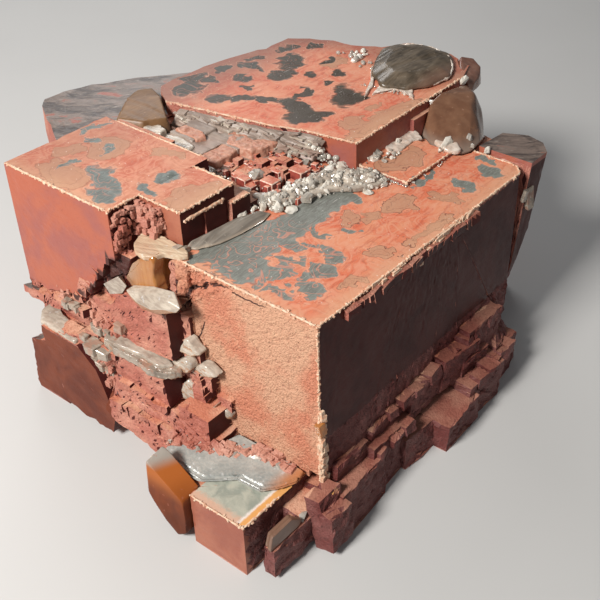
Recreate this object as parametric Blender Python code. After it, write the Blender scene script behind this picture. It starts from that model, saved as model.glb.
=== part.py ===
"""A specimen of red calcite: blunt rhombohedral blocks grown into each other, with later crystals on them.

Calcite cleaves along three planes whose edges meet at one fixed angle, so every block here is laid out
on a lattice of three edge directions. A place is (u, v, w) in millimetres: u runs back to the left,
v runs back to the right and w runs down. The zero is the front top corner of the largest block.
"""

import math
import random

import bmesh
import bpy
from mathutils import Matrix, Vector

# ---------------------------------------------------------------- driving dimensions
MM = 0.001
CLEAVAGE_ANGLE = math.radians(101.92)  # between any two edges at a blunt corner of calcite
HEADING = math.radians(96.41)  # the way into the specimen, halfway between the u and v edges
GAP = 0.3  # between a separate crystal and the red mass that carries it

BASE_LEVEL = 62.0  # w of the flat cut that the specimen rests on

MAIN_RIGHT = 84.5  # length of the main block's right top edge
MAIN_BACK = 87.6
MAIN_HEIGHT = 46.3
LEFT_TOP = -9.4  # level of the left block's top face
LEFT_FRONT = -5.4  # v of the left block's smooth front face
LEFT_BACK = 27.4
UPPER_TOP = -8.1  # level of the upper block's top face
FOOT_TOP = 46.0
FOOT_FRONT = -21.9
LEFT_END = 95.4  # u of the specimen's left end

SEED = 19


def lattice():
    """Columns are the u, v and w edge directions, each one millimetre long."""
    half = CLEAVAGE_ANGLE / 2
    lean = -math.cos(CLEAVAGE_ANGLE) / math.cos(half)
    u = Vector((math.cos(HEADING + half), math.sin(HEADING + half), 0))
    v = Vector((math.cos(HEADING - half), math.sin(HEADING - half), 0))
    w = Vector((-lean * math.cos(HEADING), -lean * math.sin(HEADING), -math.sqrt(1 - lean * lean)))
    return Matrix((u, v, w)).transposed().to_4x4()


LATTICE = Matrix.Scale(MM, 4) @ lattice()


# ---------------------------------------------------------------- scene and materials
def clear_scene():
    for thing in list(bpy.data.objects):
        bpy.data.objects.remove(thing, do_unlink=True)


def new_collection(name):
    collection = bpy.data.collections.new(name)
    bpy.context.scene.collection.children.link(collection)
    return collection


def new_material(name, colour, roughness, transmission=0.0):
    material = bpy.data.materials.new(name)
    material.use_nodes = True
    shader = material.node_tree.nodes["Principled BSDF"]
    shader.inputs["Base Color"].default_value = (*colour, 1)
    shader.inputs["Roughness"].default_value = roughness
    shader.inputs["Metallic"].default_value = 0.0
    shader.inputs["Transmission Weight"].default_value = transmission
    return material


# ---------------------------------------------------------------- shapes on the lattice
def finish_mesh(name, bm, collection):
    """Close up a shape, face it outwards and hang it in a collection."""
    bmesh.ops.recalc_face_normals(bm, faces=bm.faces)
    mesh = bpy.data.meshes.new(name)
    bm.to_mesh(mesh)
    bm.free()
    mesh.shade_flat()
    thing = bpy.data.objects.new(name, mesh)
    collection.objects.link(thing)
    return thing


def block(name, u, v, w, collection, tilt=None):
    """A blunt rhombohedral block between two levels along each edge direction, turned by a tilt if given one."""
    size = Vector((u[1] - u[0], v[1] - v[0], w[1] - w[0]))
    middle = Vector((u[0] + u[1], v[0] + v[1], w[0] + w[1])) / 2
    bm = bmesh.new()
    place = LATTICE @ Matrix.Translation(middle) @ (tilt or Matrix()) @ Matrix.Diagonal((*size, 1))
    bmesh.ops.create_cube(bm, size=1, matrix=place)
    return finish_mesh(name, bm, collection)


def slight_tilt(chance, degrees):
    """A turn of up to this many degrees about each axis."""
    most = math.radians(degrees)
    turns = (Matrix.Rotation(chance.uniform(-most, most), 4, axis) for axis in "XYZ")
    return next(turns) @ next(turns) @ next(turns)


def prism(name, outline, along, start, end, collection):
    """An outline in one lattice plane, drawn out along the third edge direction."""
    curve = bpy.data.curves.new(name, "CURVE")
    curve.dimensions = "2D"
    curve.fill_mode = "BOTH"
    curve.extrude = abs(end - start) / 2
    spline = curve.splines.new("POLY")
    spline.points.add(len(outline) - 1)
    for point, (x, y) in zip(spline.points, outline):
        point.co = (x, y, 0, 1)
    spline.use_cyclic_u = True
    drawn = bpy.data.objects.new(name + " outline", curve)
    bpy.context.scene.collection.objects.link(drawn)
    mesh = bpy.data.meshes.new_from_object(drawn.evaluated_get(bpy.context.evaluated_depsgraph_get()))
    bpy.data.objects.remove(drawn, do_unlink=True)
    order = {"u": (1, 2, 0), "v": (0, 2, 1), "w": (0, 1, 2)}[along]
    turned = Matrix([[1.0 if order[column] == row else 0.0 for column in range(3)] for row in range(3)])
    bm = bmesh.new()
    bm.from_mesh(mesh)
    bpy.data.meshes.remove(mesh)
    bmesh.ops.translate(bm, verts=bm.verts, vec=(0, 0, (start + end) / 2))
    bmesh.ops.transform(bm, matrix=LATTICE @ turned.to_4x4(), verts=bm.verts)
    bmesh.ops.remove_doubles(bm, verts=bm.verts, dist=1e-6)
    return finish_mesh(name, bm, collection)


def hull(name, points, collection):
    """The flat-faced crystal whose corners are these lattice places."""
    bm = bmesh.new()
    for place in points:
        bm.verts.new(LATTICE @ Vector(place))
    found = bmesh.ops.convex_hull(bm, input=bm.verts)
    spare = {item for item in found["geom_interior"] if isinstance(item, bmesh.types.BMVert)}
    bmesh.ops.delete(bm, geom=list(spare), context="VERTS")
    return finish_mesh(name, bm, collection)


def grown(thing, by, collection):
    """A convex shape moved outwards by this many millimetres on every side: the seat that it needs."""
    bm = bmesh.new()
    bm.from_mesh(thing.data)
    bm.normal_update()
    moves = [(vert, vert.normal * vert.calc_shell_factor() * by * MM) for vert in bm.verts]
    for vert, move in moves:
        vert.co += move
    return finish_mesh(thing.name + " seat", bm, collection)


def boolean(thing, operation, collection):
    """Join to, or cut from, an object everything in a collection of helpers."""
    modifier = thing.modifiers.new(collection.name, "BOOLEAN")
    modifier.operation = operation
    modifier.operand_type = "COLLECTION"
    modifier.collection = collection
    modifier.solver = "EXACT"


def hide_helpers(collection):
    collection.hide_render = True
    for thing in collection.objects:
        thing.hide_render = True
        thing.display_type = "WIRE"


# ---------------------------------------------------------------- the red mass, region by region
def main_block(parts):
    """The largest block. Its front face v = 0 and dark right face u = 0 meet at the front corner."""
    top = [(0, 0), (0, MAIN_RIGHT), (2.8, MAIN_BACK), (16, MAIN_BACK), (23, 92), (58, 62), (58, 5), (48.5, 5), (48.5, 0)]
    return prism("red_calcite", top, "w", 0, MAIN_HEIGHT, parts)


def ragged_edge(helpers):
    """The front face breaks off along a ragged line, with a shallow step back behind it."""
    broken = [
        (40.0, 8.0), (37.9, 9.8), (39.2, 17), (40.4, 24.1), (38.8, 29), (37.6, 33.5), (34, 38),
        (31.4, 44.8), (25.6, 45.6), (24.8, 50), (60, 50), (60, 13), (47, 12), (43, 11),
    ]
    prism("broken edge", broken, "v", -1, 4.6, helpers)
    chips = [(0.4, 44.2, 3.1), (6.2, 45.4, 2.4), (12.5, 45.7, 2.8), (18.4, 45.1, 3.4)]
    for u, w, width in chips:
        block("chip", (u, u + width), (-1, 1.8), (w, MAIN_HEIGHT + 1), helpers)


def left_block(helpers):
    """The block on the left, its face smooth and its lower edge broken into steps."""
    face = [
        (57.4, LEFT_TOP), (57.4, 4.1), (61.1, 4.4), (62.2, 7.8), (64, 9.6), (67.1, 15.3), (70.4, 17.0),
        (74.2, 21.7), (79.5, 22.4), (84.6, 24.4), (91.4, 25.8), (93, 30), (LEFT_END, 31), (LEFT_END, LEFT_TOP),
    ]
    prism("left block", face, "v", LEFT_FRONT, LEFT_BACK, helpers)
    block("left block corner", (43.8, 60), (4.2, 22.2), (LEFT_TOP + 0.05, 9), helpers)
    block("left block back", (71.6, LEFT_END - 3), (20, 29.6), (LEFT_TOP + 0.6, 8), helpers)
    block("left block ledge", (42.2, 51), (19.4, 25.8), (-5.6, 4), helpers)
    block("left block low ledge", (42.8, 54), (24.6, 31.4), (-2.2, 4), helpers)
    block("left block rim", (43.1, 52), (11.4, 18.2), (-7.0, 5), helpers)
    block("left block corner stone", (56.4, 61), (-1.4, 9), (-4.3, 6), helpers)


def upper_block(helpers):
    """The highest block, whose left side runs off the lattice where it grew against its neighbour."""
    top = [
        (34.6, 58.5), (42.7, 57.3), (50.2, 56), (59.1, 52.6), (69.5, 50.2), (83.1, 47.8), (91.9, 45.9), (98.9, 50.3),
        (101.1, 52.4), (101, 70.1), (99.4, 81.4), (96.3, 92.5), (95.9, 102.8), (90.4, 107), (83, 110.2),
        (76.4, 110.6), (68.2, 115.7), (63, 124.3), (48, 124.2), (38.9, 120), (35.8, 112), (35.2, 86),
    ]
    prism("upper block", top, "w", UPPER_TOP, 14, helpers)
    block("slab on the main top", (19.4, 37), (60, 81.5), (-1.1, 4), helpers)
    block("step under the upper edge", (33.9, 40), (84, 111), (-5.2, 9), helpers)


def body_behind(helpers):
    """The unseen middle, back and underside, in blocks that step out and in as the front ones do."""
    core = [
        (7, 4), (7, 91), (15, 101), (34, 107), (58, 106), (76, 100), (92, 88), (98, 70), (109, 52),
        (112, 30), (103, 12), (99, 6), (60, 4),
    ]
    prism("core", core, "w", 3.1, BASE_LEVEL + 8, helpers)
    block("back block, high", (44, 92), (84, 112.5), (3, 31), helpers)
    block("back block, low", (26, 84), (90, 114), (26.5, 60.6), helpers)
    block("back block, left", (70, 105), (62, 97.5), (22, 57), helpers)
    block("back foot", (18, 62), (80, 118.4), (44, BASE_LEVEL + 6), helpers)
    left_back = [(92, 8), (101, 15), (124, 27.5), (127.4, 31), (126.4, 39.6), (124.4, 46), (117.4, 58), (106.8, 71.6), (98, 74), (90, 52)]
    prism("back left block", left_back, "w", -4.4, 27, helpers)
    low_left_back = [(90, 12), (118, 26), (120.6, 44), (111, 61.5), (90, 70)]
    prism("back left block, low", low_left_back, "w", 21, BASE_LEVEL + 5, helpers)
    block("left end, low", (80, LEFT_END - 1.6), (-2.8, 24), (26, BASE_LEVEL + 4), helpers)


def left_shelves(helpers):
    """The stepped shelves and rough blocks below the left block, and the two plates at the lower left."""
    block("left middle", (38, 97), (-1.6, 20), (14, 60), helpers)
    lowest = [(61.5, 52.5), (63.5, 59.1), (72, 58.7), (81, 58.3), (82.1, 57.9), (87.2, 36), (86.6, 33.9), (72.5, 33.6), (66.1, 38.8), (64.7, 42.5)]
    prism("lower left plate", lowest, "v", -10.5, 18, helpers)
    corner = [(84, 40), (84.4, 61), (86, BASE_LEVEL + 5), (95.5, BASE_LEVEL + 5), (98.4, 60), (96.2, 44)]
    prism("lower left corner", corner, "v", -8.4, 16, helpers)
    rough = [(56.4, 12.0), (47.5, 12.3), (40.9, 12.1), (40.4, 25.6), (48, 26.6), (58.4, 28.4), (62.4, 24), (60.9, 18)]
    prism("rough block", rough, "v", -6, 8, helpers)
    shelf = [(60.3, 30.4), (42.4, 31.2), (40.9, 39.2), (48.1, 39.8), (54.4, 38.1), (60.1, 38.4)]
    prism("shelf block", shelf, "v", -8.4, 8, helpers)
    block("shelf end", (58.6, 68), (-6.6, 8), (31.6, 43.6), helpers)
    slope = [
        (60.4, -8.2, 38.6), (41, -8.0, 40.4), (27.4, -8.3, 44.4), (63.2, -11.8, 49.6), (58.5, -12.3, 51.2),
        (31.4, -12.4, 54.4), (61, -3, 58), (30, -3, 60), (62, 5, 36), (26, 5, 44), (60, 6, 60), (26, 6, 61.4),
    ]
    hull("rough slope", slope, helpers)
    steps = (
        ((34.9, 42.8), (-2.3, 6), (21.6, 27.2)),
        ((31.2, 43.4), (-2.9, 6), (28.7, 33.0)),
        ((35.2, 43.9), (-3.1, 6), (35.4, 39.4)),
        ((28.2, 38.3), (-8.0, 6), (37.2, 43.6)),
        ((26.6, 31.3), (-1.4, 6), (34.6, 38.1)),
        ((37.8, 49.2), (-0.9, 7), (0.6, 9.0)),
        ((54.0, 66.0), (-3.4, 9), (3.2, 14.6)),
        ((62.5, 77.0), (-4.2, 9), (20.4, 29.3)),
        ((74.5, 95.0), (-3.3, 9), (24.3, 36.1)),
        ((66.8, 71.9), (-7.4, 5), (29.7, 34.8)),
        ((60.1, 64.8), (-6.1, 5), (27.2, 32.0)),
    )
    for number, (u, v, w) in enumerate(steps):
        block(f"step {number}", u, v, w, helpers)


def foot(helpers):
    """The block that juts out at the bottom front, and the thin crystals beside it."""
    block("foot", (4.7, 21.5), (FOOT_FRONT, 8), (FOOT_TOP, BASE_LEVEL + 6), helpers)
    block("foot, left part", (20, 35), (-18.4, 9), (FOOT_TOP + 0.6, 58.3), helpers)
    block("foot side crystal", (-2.0, 1.2), (-19.4, -5.0), (51.4, 60.4), helpers)
    block("foot side crystal, back", (-0.6, 6), (-8.6, 1), (50.2, BASE_LEVEL + 5), helpers)
    thin = [(-0.2, 45.6), (-4.4, 45.0), (-5.3, 48.0), (-8.3, 48.9), (-8.7, 59.4), (-3.4, 60.9), (-1.4, 53.9)]
    prism("thin crystal", thin, "v", -6.2, 1.4, helpers)


def right_side(helpers):
    """The dark lumps that swell out under the main block's right face, and the crystal at its far end."""
    chance = random.Random(SEED + 3)
    lumps = (
        ((-6.2, 14), (-1.2, 18.4), (49.0, BASE_LEVEL + 5)),
        ((-3.8, 14), (14.6, 33.2), (47.3, BASE_LEVEL + 6)),
        ((-5.4, 14), (29.2, 41.7), (52.6, BASE_LEVEL + 7)),
        ((-9.9, 14), (40.2, 55.8), (51.4, BASE_LEVEL + 5.5)),
        ((-8.6, 14), (53.1, 70.2), (48.2, BASE_LEVEL + 6.5)),
        ((-6.0, 14), (66.3, 81.6), (48.1, BASE_LEVEL + 7.5)),
        ((-1.7, 9), (3.6, 16.2), (43.8, 52.0)),
        ((-2.6, 9), (33.8, 49.1), (40.4, 50.1)),
        ((-4.2, 9), (47.4, 62.9), (38.9, 49.1)),
        ((-3.6, 9), (59.2, 75.3), (36.1, 49.2)),
        ((-0.9, 9), (18.2, 36.6), (42.2, 49.7)),
        ((-4.9, 9), (55.2, 67.0), (43.4, 51.7)),
    )
    for number, (u, v, w) in enumerate(lumps):
        block(f"lump {number}", u, v, w, helpers, slight_tilt(chance, 5))
    swell = [
        (-6.4, 70, 47), (-5.8, 78.5, 49.5), (-4.4, 83.6, 55.0), (-4.8, 85.0, 61), (-6.6, 70, BASE_LEVEL + 4),
        (-1.2, 84.8, 50.4), (0.4, 91.6, 58.4), (0.6, 93.2, BASE_LEVEL + 3), (2, 82, 43), (14, 94, 57), (14, 92, BASE_LEVEL + 4), (14, 72, 44),
    ]
    hull("swell", swell, helpers)
    end = [
        (-0.4, 90.2, -0.6), (-0.4, 98.4, -0.6), (3.0, 102.6, -0.6), (8.6, 104, -0.6), (15, 101, -0.6), (16, 90, -0.6),
        (0.3, 86.4, 29), (0.3, 89.2, 29.5), (1.4, 86.2, 38), (5, 91.5, 31), (12, 94, 33), (16, 90, 40), (0.1, 93.6, 21.5),
    ]
    hull("far crystal", end, helpers)
    block("far crystal, bridge", (4.4, 20), (85, 94), (1.4, 20), helpers)


def trough(helpers):
    """The sunk strip between the three high blocks, floored with low slabs and filled with little cubes."""
    block("trough floor", (57, 97), (24, 60), (-0.6, 9), helpers)
    block("trough slab", (58, 94), (27, 53), (-2.6, 8), helpers)
    block("trough slab, back", (70, 98), (25.4, 50.6), (-3.9, 7), helpers)
    chance = random.Random(SEED)
    for number in range(46):
        side = chance.uniform(1.5, 3.3)
        u = chance.uniform(43.2, 57.5)
        v = chance.uniform(31.4, 49.4 - side)
        height = chance.uniform(0.9, 4.4)
        block(f"cube {number}", (u, u + side), (v, v + side), (-height, 2.4), helpers)


def crumbs(helpers):
    """Small crystals along the broken edges, each a little block grown into the mass."""
    chance = random.Random(SEED + 1)
    runs = (
        # count, start (u, v, w), end (u, v, w), least and greatest side
        (22, (-0.8, 8, 1.5), (-0.9, 60, 1.4), 1.3, 2.9),
        (9, (70, -5.6, 25.5), (96, -5.8, 28.5), 1.6, 3.6),
        (10, (58, -8.4, 30.6), (80, -8.8, 33.6), 1.6, 3.4),
        (6, (35, -2.6, 27.5), (33, -3.6, 36.0), 1.6, 3.2),
        (9, (30, -9.9, 46.4), (58, -10.9, 45.0), 1.8, 3.8),
        (6, (41, -8.9, 39.8), (56, -9.0, 39.0), 1.5, 3.0),
        (7, (60.5, -4.8, 5.0), (74, -5.2, 22.5), 1.8, 3.4),
        (8, (-1.6, 22, 42.8), (-3.6, 73, 37.4), 1.6, 3.6),
        (4, (-3.8, 16, 48.7), (-4.0, 32, 48.2), 1.8, 3.6),
        (6, (-9.1, 56, 48.8), (-6.8, 77, 49.4), 1.8, 4.2),
    )
    for count, start, end, least, greatest in runs:
        for step in range(count):
            share = (step + chance.uniform(0.1, 0.9)) / count
            place = Vector(start).lerp(Vector(end), share)
            side = [chance.uniform(least, greatest) for _ in range(3)]
            u = (place.x - side[0] * 0.35, place.x + side[0] * 0.65 + 1.4)
            v = (place.y - side[1] * 0.35, place.y + side[1] * 0.65 + 1.4)
            w = (place.z - side[2] * 0.35, place.z + side[2] * 0.65)
            block("crumb", u, v, w, helpers, slight_tilt(chance, 9))


# ---------------------------------------------------------------- the later crystals, one node each
def amber_crystal(parts):
    """Honey-coloured, wedged under the broken corner of the left block."""
    front = [(45.9, 0.2), (43.6, 0.2), (50.6, 1.6), (53.1, 3.8), (56.2, 9.0), (53.8, 11.2), (49.6, 11.3), (44.6, 8.7)]
    places = [(u, -4.1, w) for u, w in front] + [(u - 0.4, 1.6, w) for u, w in front]
    return hull("amber_crystal", places, parts)


def striated_plate(parts):
    """A thin pale plate that bridges the main block's left corner and the amber crystal."""
    outline = [
        (54.9, 3.8), (54.3, 0.4), (53.0, -2.6), (50.4, -4.8), (47.0, -5.3), (44.8, -4.0), (43.9, -1.6), (40.2, -0.2),
        (39.0, 1.2), (40.6, 2.5), (43.7, 3.0),
    ]
    return prism("striated_plate", outline, "w", -1.5, -GAP, parts)


def foot_amber_crystal(parts):
    """Orange, leaning against the left side of the foot."""
    face = [(33.4, 40.6), (31.6, 41.2), (34.4, 51.1), (29.0, 57.8), (25.0, 60.6), (22.4, 58.6), (21.9, 53.5), (22.0, 47.2)]
    places = [(u, -24, w) for u, w in face] + [(u - 0.3, -18.6, w - 1.2) for u, w in face]
    return hull("foot_amber_crystal", places, parts)


def smoky_crystal(parts):
    """Brown and rounded, on the right of the upper block."""
    places = [
        (33.6, 91.2, -8.3), (33.4, 96, -9.2), (33.6, 111.0, -7.0), (27.2, 104.2, -8.0), (24.4, 98.2, -7.8),
        (26.0, 107.0, -2.8), (25.2, 107.6, 5.5), (23.2, 91.0, -5.4), (31.8, 86.6, -3.4), (34, 111.6, 4),
        (27.6, 83.6, -GAP), (23.5, 81.2, -GAP), (20.5, 81.4, -GAP), (17.4, 83.2, -GAP), (16.2, 86.2, -GAP),
        (17.0, 92.6, -GAP), (19.8, 99.4, 2.4), (34, 88, 4), (22, 90, 5),
    ]
    return hull("smoky_crystal", places, parts)


def brown_tip_crystal(parts):
    """A small stepped crystal on the right rear corner of the upper block."""
    places = [
        (43.4, 122.6, -9.2), (41.2, 126.6, -7.7), (37.8, 125.4, -6.4), (35.6, 121.2, -5.0), (34.2, 116.2, -5.2),
        (35.2, 112.8, -6.9), (40.4, 117.6, -8.0), (45, 120, -5), (43, 127, -3), (36.4, 124, -1.6), (34.6, 115, -1.8),
    ]
    return hull("brown_tip_crystal", places, parts)


def clear_plate(parts):
    """A clear grey plate, a lens of calcite laid on the upper block's right rear corner."""
    rim = [
        (57.2, 95.2), (62.4, 104.0), (65.6, 112.2), (63.8, 117.6), (58.6, 121.4), (51.4, 122.4), (45.8, 120.8),
        (41.6, 115.4), (37.8, 108.0), (38.8, 98.4), (42.6, 92.6), (49.4, 89.8),
    ]
    middle = Vector((51.0, 107.0))
    low = [(u, v, UPPER_TOP - GAP) for u, v in rim]
    waist = [(u, v, UPPER_TOP - 1.5) for u, v in rim]
    crest = [(*(middle + (Vector(place) - middle) * 0.62), UPPER_TOP - 3.4) for place in rim]
    return hull("clear_plate", low + waist + crest, parts)


def olive_crystal(parts):
    """Yellow-brown, in the corner between the left, upper and rear blocks."""
    places = [
        (93.6, 29.4, -8.8), (101.6, 40.4, -8.6), (105.6, 47.6, -7.4), (104.0, 51.6, -7.0), (94.6, 46.2, -9.2),
        (84.0, 38.6, -8.2), (86.8, 32.4, -8.6), (94.6, 28.8, -4.0), (107.2, 47.4, -3.6), (104.2, 52.6, -3.4),
        (82.4, 38.8, -3.2), (86.8, 31.2, -3.6),
    ]
    return hull("olive_crystal", places, parts)


def grey_blade(parts):
    """Lies along the foot of the left block, on the main block's top, like a slim boat turned over."""
    foot_line = [
        (42.9, 3.6), (40.4, 5.2), (38.0, 10.5), (36.9, 17.2), (36.5, 24.0), (37.7, 28.2), (40.2, 27.0),
        (41.7, 24.6), (42.7, 19.0), (43.4, 11.0), (43.5, 5.0),
    ]
    places = [(u, v, -GAP) for u, v in foot_line]
    places += [(42.4, 5.4, -1.6), (41.0, 11.0, -2.5), (40.3, 19.0, -2.6), (39.2, 25.2, -1.8)]
    return hull("grey_blade", places, parts)


def foot_blade(parts):
    """Stands on the small crystal beside the foot."""
    places = [
        (-1.7, -20.3, 51.0), (-1.7, -19.3, 46.9), (-1.7, -12.6, 46.8), (-1.7, -8.9, 49.7), (-1.7, -10.0, 51.0),
        (0.8, -19.2, 51.0), (0.8, -18.0, 47.8), (0.8, -11.2, 47.9), (0.8, -8.9, 51.0),
    ]
    return hull("foot_blade", places, parts)


def foot_ledge(parts):
    """The bent pale plate on top of the foot."""
    outline = [
        (33.6, -11.2), (36.2, -15.0), (34.4, -18.0), (28.0, -18.1), (21.8, -17.9), (18.6, -15.2), (15.1, -12.2),
        (11.6, -12.0), (8.4, -11.6), (5.4, -8.2), (3.4, -4.2), (4.4, -1.0), (16.0, -0.8), (25.2, -1.2), (27.4, -9.6),
    ]
    return prism("foot_ledge", outline, "w", FOOT_TOP - 1.6, FOOT_TOP - GAP, parts)


def shell_ledge(parts):
    """A pale shell-like plate above the rough block, swelling out from the wall."""
    rim = [(52.5, 9.2), (50.9, 11.2), (47.5, 12.5), (42.4, 11.8), (35.3, 8.1), (33.8, 6.2), (37.8, 6.0), (45.3, 7.4)]
    places = [(u, -7.4, w) for u, w in rim] + [(43.2, -8.6, 10.0), (47.6, -8.3, 10.4), (39.0, -8.2, 8.4)]
    places += [(52.8, -4.6, 9.4), (49.5, -4.5, 12.2), (42, -4.5, 12.0), (36.6, -4.3, 8.4), (38.4, -4.7, 5.0), (45.3, -4.6, 6.6)]
    return hull("shell_ledge", places, parts)


def small_shell(parts):
    """A little yellowish rhomb beside the shell-like plate."""
    face = [(62.5, 12.4), (56.2, 7.5), (53.4, 9.2), (55.6, 12.3), (60.5, 14.6)]
    places = [(u, -6.2, w) for u, w in face] + [(58.6, -3.2, 9.8), (59.0, -3.2, 12.6), (62.0, -3.0, 12.2), (60.4, -3.0, 14.2)]
    return hull("small_shell", places, parts)


def stepped_ledge(parts):
    """The pale stepped plate that caps the shelf block."""
    outline = [
        (64.6, -4.9), (62.8, -8.6), (58.0, -9.6), (51.6, -9.2), (45.4, -10.2), (40.6, -8.4), (38.4, -5.6),
        (42.2, -2.4), (63.4, -2.2),
    ]
    return prism("stepped_ledge", outline, "w", 27.9, 30.0, parts)


def grey_crust(parts, helpers, seats):
    """Glassy grey plates over the floor of the trough, and a bank of the same up the upper block's left flank."""
    first = block("grey_crust", (66.0, 81.7), (30.2, 44.6), (-5.3, -4.2), parts)
    plates = [
        block("crust plate", u, v, w, helpers)
        for u, v, w in (
            ((61.4, 80.2), (33.6, 49.2), (-4.7, -3.2)),
            ((72.4, 81.2), (36.4, 45.6), (-6.0, -4.5)),
            ((80.4, 85.6), (42.3, 46.0), (-5.0, -4.2)),
            ((60.6, 70.0), (41.0, 50.6), (-5.3, -3.6)),
        )
    ]
    flank = [(86.4, 46.5), (83.2, 47.1), (69.6, 49.5), (59.2, 51.9), (50.4, 55.3), (44.2, 56.6)]
    for near, far in zip(flank, flank[1:]):
        places = []
        for u, v in ((near[0] + 0.6, near[1] - 0.2), far):
            places += [(u, v, -7.5), (u, v - 1.0, -7.3), (u, v - 3.9, -4.2), (u, v - 4.6, -2.4), (u, v, -2.4)]
        plates.append(hull("crust bank", places, helpers))
    for plate in [first, *plates]:
        grown(plate, GAP, seats)
    boolean(first, "UNION", helpers)
    hide_helpers(helpers)
    return first


def druse(parts, helpers, floor):
    """Silvery little crystals crowded along the foot of the upper block, on one thin crust."""
    crust = [
        (42.0, 28.2), (38.8, 30.2), (36.6, 33.6), (34.6, 40.0), (32.0, 46.0), (27.2, 49.6), (24.4, 54.4), (24.2, 58.6),
        (32.6, 58.9), (33.9, 57.6), (42.0, 51.2), (41.6, 44.0), (41.6, 36.0), (42.3, 31.8),
    ]
    base = prism("druse", crust, "w", -1.5, -GAP, parts)
    chance = random.Random(SEED + 5)
    spine = [Vector(place) for place in ((39.9, 32.2), (38.6, 38.0), (36.8, 46.5), (30.0, 53.6), (27.2, 56.2))]
    for number in range(40):
        share = (number + 0.5) / 40 * (len(spine) - 1)
        start = spine[int(share)]
        end = spine[int(share) + 1]
        u, v = start.lerp(end, share % 1)
        side = chance.uniform(1.2, 2.6)
        spin = Matrix.Rotation(chance.uniform(0, math.tau), 4, "Z") @ slight_tilt(chance, 28)
        middle = (u + chance.uniform(-1.9, 1.9), v + chance.uniform(-1.9, 1.9), -1.6)
        bm = bmesh.new()
        place = LATTICE @ Matrix.Translation(middle) @ spin @ Matrix.Diagonal((side, side * 1.4, side, 1))
        bmesh.ops.create_cube(bm, size=1, matrix=place)
        finish_mesh("druse crystal", bm, helpers)
    block("main top, under the druse", (15, 60), (15, 70), (-GAP, 6), floor)
    boolean(base, "UNION", helpers)
    boolean(base, "DIFFERENCE", floor)
    hide_helpers(helpers)
    hide_helpers(floor)
    return base


# ---------------------------------------------------------------- assembly
def table_cutter(helpers):
    """Everything below the flat cut that the specimen rests on."""
    level = (LATTICE @ Vector((0, 0, BASE_LEVEL))).z
    bm = bmesh.new()
    place = Matrix.Translation((0, 0.04, level - 0.05)) @ Matrix.Diagonal((0.4, 0.4, 0.1, 1))
    bmesh.ops.create_cube(bm, size=1, matrix=place)
    finish_mesh("below the cut", bm, helpers)


def move_origin_to_base(things):
    """Put the world's origin under the middle of the specimen, on the plane that it rests on."""
    graph = bpy.context.evaluated_depsgraph_get()
    nodes = [thing for thing in things if not thing.hide_render]
    corners = [vert.co.copy() for node in nodes for vert in node.evaluated_get(graph).data.vertices]
    low = Vector([min(corner[axis] for corner in corners) for axis in range(3)])
    high = Vector([max(corner[axis] for corner in corners) for axis in range(3)])
    shift = Vector((-(low.x + high.x) / 2, -(low.y + high.y) / 2, -low.z))
    for thing in things:
        thing.location = shift
    return shift, high - low


def main():
    clear_scene()
    parts = new_collection("Calcite specimen")
    edge, grown_on, crumb_set, seats, cut = (
        new_collection(name) for name in ("Broken edge", "Blocks", "Crumbs", "Seats", "Flat cut")
    )
    red = new_material("red calcite", (0.62, 0.20, 0.13), 0.5)
    amber = new_material("amber calcite", (0.72, 0.34, 0.10), 0.2, 0.5)
    brown = new_material("smoky calcite", (0.42, 0.27, 0.18), 0.15, 0.5)
    clear = new_material("clear calcite", (0.62, 0.60, 0.52), 0.1, 0.7)
    pale = new_material("pale calcite", (0.78, 0.70, 0.60), 0.3)
    silver = new_material("silvery calcite", (0.80, 0.77, 0.72), 0.15)

    mass = main_block(parts)
    ragged_edge(edge)
    for region in (left_block, upper_block, body_behind, left_shelves, foot, right_side, trough):
        region(grown_on)
    crumbs(crumb_set)
    table_cutter(cut)

    crystals = {
        amber_crystal(parts): amber,
        striated_plate(parts): pale,
        foot_amber_crystal(parts): amber,
        smoky_crystal(parts): brown,
        brown_tip_crystal(parts): brown,
        clear_plate(parts): clear,
        olive_crystal(parts): amber,
        grey_blade(parts): clear,
        foot_blade(parts): clear,
        foot_ledge(parts): pale,
        shell_ledge(parts): pale,
        small_shell(parts): amber,
        stepped_ledge(parts): pale,
    }
    for crystal in crystals:
        grown(crystal, GAP, seats)
    crystals[grey_crust(parts, new_collection("Crust plates"), seats)] = clear
    crystals[druse(parts, new_collection("Druse crystals"), new_collection("Druse floor"))] = silver

    boolean(mass, "DIFFERENCE", edge)
    boolean(mass, "UNION", grown_on)
    boolean(mass, "UNION", crumb_set)
    boolean(mass, "DIFFERENCE", seats)
    boolean(mass, "DIFFERENCE", cut)
    for helpers in (edge, grown_on, crumb_set, seats, cut):
        hide_helpers(helpers)

    mass.data.materials.append(red)
    for crystal, material in crystals.items():
        crystal.data.materials.append(material)
    bpy.context.view_layer.update()
    shift, size = move_origin_to_base(list(bpy.data.objects))
    print("front corner of the main block at", [round(value / MM, 3) for value in shift], "mm")
    print("size", [round(value / MM, 1) for value in size], "mm")


main()
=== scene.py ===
# %% [markdown]
# # A specimen of red calcite
#
# The specimen is one intergrown group of blunt rhombohedral blocks of salmon-red calcite, with later
# crystals of amber, smoky and clear calcite on it. This lesson dresses its plain solids: it breaks up the
# faces as weathered calcite is broken up, draws the growth patches on the flat tops, sets small crystals
# along the seams, and makes the clear crystals out of clear stuff.
#
# Everything is measured in millimetres along the three directions in which calcite's edges run, because
# then every face is a plain "this number is constant", and a crumb of crystal is a little box.

# %% The frame of plain solids
import math
import random

import bmesh
import bpy
import numpy as np
from mathutils import Matrix, Vector


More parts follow.
